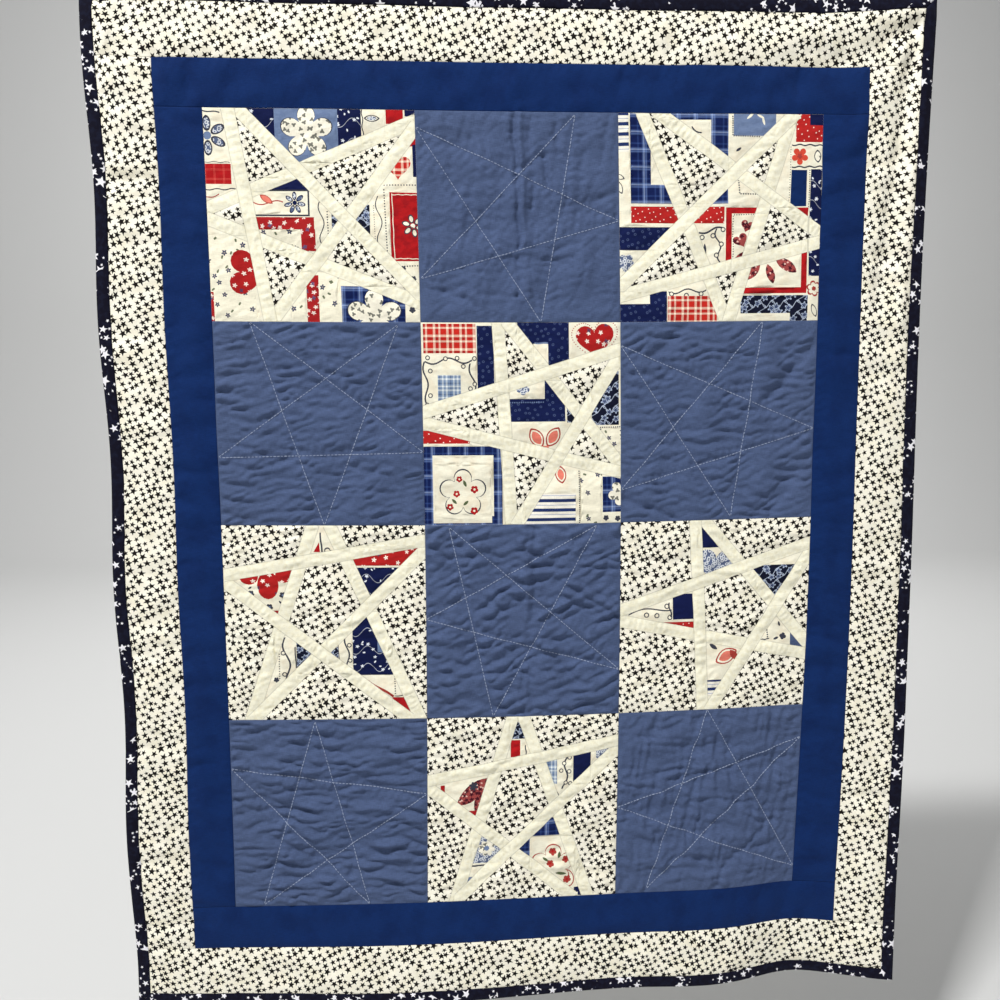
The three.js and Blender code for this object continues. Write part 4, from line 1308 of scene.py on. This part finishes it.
# %% Make the pieced blocks
def pieced_block(name, upper):
    """A block of patches. On the upper ones the printed cotton is the ground and the
    middle of the star, on the lower ones it is in the tips."""
    lines = [in_mm(line) for line in LINES[name]]
    shapes = [(fabric, clipped(shape)) for fabric, shape in PRINT[name]]
    cuts = cuts_along(seam for line in lines for seam in seams_of(line))

    def printed(x, y):
        top, _ = strips_at(lines, OVER[name], x, y)
        tip = turns_round(lines, x, y) == 1
        return (top < 0) & (~tip if upper else tip)

    def shows(shape):
        edge, middle = np.array(evenly(shape, 3)), np.mean(shape, axis=0)
        within = np.concatenate([middle + (edge - middle) * k for k in (0.3, 0.6, 0.8, 0.99)])
        return printed(*within.T).any()

    seen = [(fabric, shape) for fabric, shape in shapes if shape and shows(shape)]
    drawn = np.array([FABRICS.index(fabric) for fabric, _ in seen] + [FABRICS.index("cream")])

    def choose(inside, x, y):
        top, _ = strips_at(lines, OVER[name], x, y)
        fabric = np.where(printed(x, y), drawn[inside], FABRICS.index("tiny_stars"))
        return np.where(top >= 0, FABRICS.index("cream_strip"), fabric)

    def relief(x, y):
        height, wave, seam, edge = block_relief(name, x, y)
        # The way to the next seam also sets the painted seam shade, a little weaker at the block's edge.
        return height, wave, np.minimum(seam, edge + 0.25)

    return sheet(name + "_cloth", block_corners(name), relief, [COTTONS[f] for f in FABRICS],
                 [shape for _, shape in seen], cuts, choose=choose)


BLOCK_FLAT = (BLOCK / 1000, BLOCK / 1000)
PIECES = []
for number in range(1, 7):
    name = f"star_block_{number}"
    piece = pieced_block(name, upper=number <= 3)
    PIECES.append((piece, name, "patch_print", BLOCK_FLAT))
    print(name, len(piece.data.polygons), "faces")


# %% Make the plain blocks
def plain_block(name):
    def relief(x, y):
        height, wave, seam, edge = block_relief(name, x, y)
        # The way to the next seam sets the painted seam shade, fainter along the stitched lines than at the
        # block's edge.
        return height, wave, np.minimum(seam + 0.45, edge + 0.25)

    cuts = cuts_along(in_mm(line) for line in LINES[name])
    return sheet(name + "_cloth", block_corners(name), relief, [COTTONS["slate_blue"]], (), cuts)


for number in range(1, 7):
    name = f"plain_block_{number}"
    piece = plain_block(name)
    PIECES.append((piece, name, "plain_blue", BLOCK_FLAT))
print("plain block:", len(piece.data.polygons), "faces")

# %% [markdown]
# ## The borders
#
# Two frames of four strips go round the blocks. The top and bottom strips run the full
# width and the side strips butt against them. A border is held down only at its seams,
# so it puffs up in its middle, with level creases where its edge is drawn in.

# %% Make the inner and outer borders
def border_strip(name, s0, t0, s1, t1, fabric, slot, seed):
    w, h = s1 - s0, t1 - t0
    upright = w < h

    def relief(x, y):
        edge = np.clip(np.minimum.reduce([x, y, w - x, h - y]), 0, None)
        soft = np.minimum(1, edge / 4)
        height = FRONT_PUFF * puff(edge)
        if upright:
            side = np.clip(np.minimum(x, w - x), 0, None)
            wave = 0.8 * soft * creases(x, y, seed, (14, 50), 0.35)
            height += 0.35 * puckers(y, side, seed, 11.0, 9) * soft
        else:
            side = np.clip(np.minimum(y, h - y), 0, None)
            wave = 0.6 * soft * creases(y, x, seed, (22, 70), 0.45)
            height += 0.30 * puckers(x, side, seed, 11.0, 9) * soft
        wave += 0.10 * soft * creases(x, y, seed + 50, (7, 15), 1.2)
        wave += 0.8 * np.minimum(1, edge / 15) * drift(x, y, np.random.default_rng(seed), 34)
        # The way to the edge sets the painted seam shade along the border's seams.
        return height, wave, edge + 0.2

    piece = sheet(name + "_cloth", box(s0, t0, s1, t1), relief, [COTTONS[fabric]], pitch=BORDER_PITCH)
    PIECES.append((piece, name, slot, (w / 1000, h / 1000)))


def border(name, inside, wide, fabric, slot, seed):
    s, t = GRID_W / 2 + inside, TOP - inside
    b = HEIGHT - t
    border_strip(name + "_top", -s - wide, t - wide, s + wide, t, fabric, slot, seed)
    border_strip(name + "_bottom", -s - wide, b, s + wide, b + wide, fabric, slot, seed + 1)
    border_strip(name + "_left", -s - wide, t, -s, b, fabric, slot, seed + 2)
    border_strip(name + "_right", s, t, s + wide, b, fabric, slot, seed + 3)


border("inner_border", 0, INNER, "royal_blue", "border_blue", 71)
border("outer_border", INNER, OUTER, "tiny_stars", "star_print", 81)
print("border faces:", sum(len(p.data.polygons) for p, n, *_ in PIECES if "border" in n))

# %% [markdown]
# ## The binding
#
# The raw edge is closed by a narrow strip that is folded over it, front to back. Its
# section is that strip folded in two: first its outer face, then its inner one. Each
# point is a distance in from the edge and a height. The section is swept down each side
# and cut at 45 degrees where two sides meet.

# %% Make the four binding strips
OUTSIDE = [(14, 1.1), (13.8, 1.6), (12.8, 2.05), (11, 2.35), (8.5, 2.5), (6, 2.5), (3.6, 2.3),
           (1.6, 1.9), (0.5, 1.2), (0.1, 0.2), (0.4, -1.0), (1.5, -1.7), (4, -2.1), (7, -2.2),
           (10, -2.1), (12.8, -1.8), (13.8, -1.4), (14, -1.1)]
INSIDE = [(14, -0.7), (12, -1.3), (8, -1.6), (4, -1.5), (1.4, -0.9), (0.7, 0.1), (1.3, 1.1),
          (4, 1.8), (8, 1.9), (12, 1.5), (14, 0.7)]
SECTION = OUTSIDE + INSIDE

# How far apart the sections lie along a side, and how wide the flat strip was cut.
STEP, STRIP_CUT = 3.0, 33.5


def binding_strip(side, seed):
    long = WIDTH if side in ("top", "bottom") else HEIGHT
    count, m = round(long / STEP), len(SECTION)
    inward, lift = np.array(SECTION, float).T
    v = np.linspace(0, 1, count + 1)[:, None]
    d = inward[None, :] + 0 * v
    along = d + v * (long - 2 * d) + np.where(v < 0.5, 0.05, -0.05)
    ripple = 0.22 * np.sin(along / 5.3 + seed) + 0.18 * np.sin(along / 11.9 + 2 * seed)
    swell = (1 + 0.16 * ripple + 0.05 * np.sin(along / 37.0 + seed)) * lift[None, :]
    waver = 0.5 * np.sin(along / 31.0 + seed) + 0.25 * np.sin(along / 9.0)
    wander = d + np.where(d > 9, waver, 0)
    where = {
        "top": (along - WIDTH / 2, wander), "bottom": (along - WIDTH / 2, HEIGHT - wander),
        "left": (wander - WIDTH / 2, along), "right": (WIDTH / 2 - wander, along),
    }[side]
    s, t = (a.ravel() for a in where)
    points = hang(s, t, swell.ravel())

    faces = []
    for k in range(count):
        for i in range(m):
            j = (i + 1) % m
            faces.append((k * m + i, k * m + j, (k + 1) * m + j, (k + 1) * m + i))
    faces += [tuple(range(m))[::-1], tuple(count * m + i for i in range(m))]
    if side in ("bottom", "left"):
        faces = [face[::-1] for face in faces]
    mesh = bpy.data.meshes.new(f"binding_{side}_cloth")
    mesh.from_pydata(points.tolist(), [], faces)

    # The print runs on round the section, and lies elsewhere on each side of the quilt.
    steps = np.hypot(np.diff(inward, prepend=inward[0]), np.diff(lift, prepend=lift[0]))
    over = np.broadcast_to(np.cumsum(steps)[None, :], d.shape)
    flat = np.column_stack([(along + 37 * seed).ravel(), over.ravel() + 90 * seed])
    # Painted seam shade where the binding folds onto the quilt: the points of the section that meet the
    # quilt's faces lie 0.3 mm from a seam, the others 6.3 mm, out of reach of the shade.
    edge = np.broadcast_to((inward < 13.7) * 6.0 + 0.3, d.shape).ravel()
    finish_cloth(mesh, flat, edge)
    mesh.materials.append(COTTONS["night_stars"])
    PIECES.append((placed(mesh), f"binding_{side}", "binding_print", (long / 1000, STRIP_CUT / 1000)))


for seed, side in enumerate(("top", "bottom", "left", "right")):
    binding_strip(side, seed + 1)
print("binding faces:", sum(len(p.data.polygons) for p, n, *_ in PIECES if "binding" in n))

# %% [markdown]
# ## The running stitches
#
# Stitches repeat along a line, which is work for Geometry Nodes. The tree takes the
# star's lines as edges, makes them curves, sets a point at each stitch and puts one
# small rounded thread there, turned along the line. It ends by realizing the copies and
# setting their cotton, and the result is kept as a plain mesh.

# %% The node tree for stitches
def stitch_tree(material):
    tree = bpy.data.node_groups.new("running_stitches", "GeometryNodeTree")
    face = tree.interface
    face.new_socket("Geometry", in_out="INPUT", socket_type="NodeSocketGeometry")
    for name, value in (("Pitch", 0.0040), ("Length", 0.0035), ("Thickness", 0.00095)):
        face.new_socket(name, in_out="INPUT", socket_type="NodeSocketFloat").default_value = value
    face.new_socket("Seed", in_out="INPUT", socket_type="NodeSocketInt").default_value = 7
    face.new_socket("Geometry", in_out="OUTPUT", socket_type="NodeSocketGeometry")
    nodes, join = tree.nodes, tree.links.new
    start, end = nodes.new("NodeGroupInput"), nodes.new("NodeGroupOutput")
    curve, even = nodes.new("GeometryNodeMeshToCurve"), nodes.new("GeometryNodeCurveToPoints")
    even.mode = "LENGTH"
    thread, shape = nodes.new("GeometryNodeMeshUVSphere"), nodes.new("GeometryNodeTransform")
    thread.inputs["Segments"].default_value = 6
    thread.inputs["Rings"].default_value = 5
    thread.inputs["Radius"].default_value = 0.5
    size, place = nodes.new("ShaderNodeCombineXYZ"), nodes.new("GeometryNodeInstanceOnPoints")
    real, dress = nodes.new("GeometryNodeRealizeInstances"), nodes.new("GeometryNodeSetMaterial")
    vary = nodes.new("FunctionNodeRandomValue")
    vary.data_type = "FLOAT"
    vary.inputs[2].default_value = 0.75
    vary.inputs[3].default_value = 1.15
    dress.inputs["Material"].default_value = material
    join(start.outputs["Geometry"], curve.inputs[0])
    join(curve.outputs[0], even.inputs["Curve"])
    join(start.outputs["Pitch"], even.inputs["Length"])
    join(start.outputs["Thickness"], size.inputs["X"])
    join(start.outputs["Thickness"], size.inputs["Y"])
    join(start.outputs["Length"], size.inputs["Z"])
    join(thread.outputs["Mesh"], shape.inputs["Geometry"])
    join(size.outputs[0], shape.inputs["Scale"])
    join(even.outputs["Points"], place.inputs["Points"])
    join(even.outputs["Rotation"], place.inputs["Rotation"])
    join(shape.outputs[0], place.inputs["Instance"])
    join(start.outputs["Seed"], vary.inputs["Seed"])
    join(vary.outputs[1], place.inputs["Scale"])
    join(place.outputs[0], real.inputs[0])
    join(real.outputs[0], dress.inputs["Geometry"])
    join(dress.outputs[0], end.inputs[0])
    return tree


STITCHES = stitch_tree(COTTONS["thread"])
print("inputs:", [item.name for item in STITCHES.interface.items_tree if item.in_out == "INPUT"])


# %% Lay the stitches along the stars of the plain blocks
# Points on each line, the share left free at its ends, and in millimetres the way from
# the block's edge and above the cloth.
PATH_POINTS, END_GAP, EDGE_GAP, ABOVE = 60, 0.012, 1.2, 0.25


def stitched(name, seed):
    s0, t0 = block_corners(name)[0]
    points, edges = [], []
    for line in LINES[name]:
        ax, ay, bx, by = in_mm(line)
        k = np.linspace(END_GAP, 1 - END_GAP, PATH_POINTS)
        x = np.clip(ax + (bx - ax) * k, EDGE_GAP, BLOCK - EDGE_GAP)
        y = np.clip(ay + (by - ay) * k, EDGE_GAP, BLOCK - EDGE_GAP)
        height = sum(block_relief(name, x, y)[:2])
        first = len(points)
        points += hang(x + s0, y + t0, LOW + height + ABOVE).tolist()
        edges += [(first + i, first + i + 1) for i in range(PATH_POINTS - 1)]
    mesh = bpy.data.meshes.new(name + "_stitches")
    mesh.from_pydata(points, edges, [])
    path = placed(mesh)
    modifier = path.modifiers.new("stitches", "NODES")
    modifier.node_group = STITCHES
    ids = {item.name: item.identifier for item in STITCHES.interface.items_tree if item.in_out == "INPUT"}
    modifier[ids["Seed"]] = seed
    graph = bpy.context.evaluated_depsgraph_get()
    made = bpy.data.meshes.new_from_object(path.evaluated_get(graph))
    path.modifiers.clear()
    path.data = made
    made.name = name + "_stitches"
    smooth(made)
    return path


THREADS = [(stitched(f"plain_block_{i}", i), "plain_blue") for i in range(1, 7)]
print("stitch faces:", sum(len(piece.data.polygons) for piece, _ in THREADS))

# %% [markdown]
# ## Join the pieces to the frame
#
# Each sheet takes the place of its solid. The stitches ride along.

for piece, node, slot, flat in PIECES:
    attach(piece, "root")
    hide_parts(node)
for piece, slot in THREADS:
    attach(piece, "root")
print("pieces:", len(PIECES) + len(THREADS))

# %% [markdown]
# ## Floor, light and camera
#
# The floor and the light are plain and pale. A lamp high on the left gives the puckers a
# bright and a dark side, a weak, broad one fills the right, and a third lights the sweep
# of the floor behind. The camera stands about a metre away and a little above the middle
# of the quilt, where the whole of it just fits.

# %% Floor
def pale_floor():
    """A floor that sweeps up far behind the quilt, so that no edge shows."""
    bend = np.linspace(0.1, 1.57, 14)
    curve = [(4 + 1.6 * math.sin(a), 1.6 - 1.6 * math.cos(a)) for a in bend]
    points = [(x, y, z) for y, z in [(-9, 0), (4, 0), *curve, (5.6, 9)] for x in (-12, 12)]
    mesh = bpy.data.meshes.new("floor")
    mesh.from_pydata(points, [], [(i, i + 1, i + 3, i + 2) for i in range(0, len(points) - 2, 2)])
    smooth(mesh)
    material = bpy.data.materials.new("pale_floor")
    material.use_nodes = True
    shader = material.node_tree.nodes["Principled BSDF"]
    shader.inputs["Base Color"].default_value = (0.64, 0.64, 0.63, 1)
    shader.inputs["Roughness"].default_value = 0.8
    mesh.materials.append(material)
    floor = placed(mesh)
    floor.location = (0, 0, -1.36)
    return floor


print("floor at", pale_floor().location.z)


# %% Light
def lamp(name, place, aim, size, power):
    data = bpy.data.lights.new(name, "AREA")
    data.size = size
    data.energy = power
    light = bpy.data.objects.new(name, data)
    light.location = place
    light.rotation_euler = (Vector(aim) - Vector(place)).to_track_quat("-Z", "Y").to_euler()
    bpy.context.collection.objects.link(light)


lamp("key", (-1.7, -2.1, 3.3), (0, 0, -0.6), 0.5, 246)
lamp("fill", (0.9, -2.5, -0.9), (0, 0, -0.8), 2.0, 12)
lamp("behind", (0.6, 2.2, 2.2), (0, 4.6, 0.2), 2.0, 110)
world = bpy.data.worlds.new("studio")
world.use_nodes = True
world.node_tree.nodes["Background"].inputs["Color"].default_value = (0.93, 0.94, 0.96, 1)
world.node_tree.nodes["Background"].inputs["Strength"].default_value = 0.29
bpy.context.scene.world = world

# %% Camera, and colours shown as they are dyed
# Where the camera stands, in metres, and in degrees how far it looks to the right, how
# far it leans over and how far it looks down.
STAND = (-0.0781, -0.9741, -0.4455)
TO_RIGHT, LEAN, DOWN = 3.25, 0.39, 6.26

bpy.context.scene.view_settings.view_transform = "Standard"
camera = bpy.data.objects.new("camera", bpy.data.cameras.new("camera"))
camera.data.lens = 30.6
camera.data.sensor_width = 36
camera.data.clip_start = 0.02
turn = Matrix.Rotation(math.radians(-TO_RIGHT), 4, "Z")
turn @= Matrix.Rotation(math.radians(LEAN), 4, "Y")
turn @= Matrix.Rotation(math.radians(90 - DOWN), 4, "X")
camera.matrix_world = Matrix.Translation(STAND) @ turn
bpy.context.collection.objects.link(camera)
bpy.context.scene.camera = camera
print("camera at", STAND)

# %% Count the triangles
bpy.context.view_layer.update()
total = sum(sum(len(p.vertices) - 2 for p in piece.data.polygons) for piece, *_ in [*PIECES, *THREADS])
print("triangles:", total)
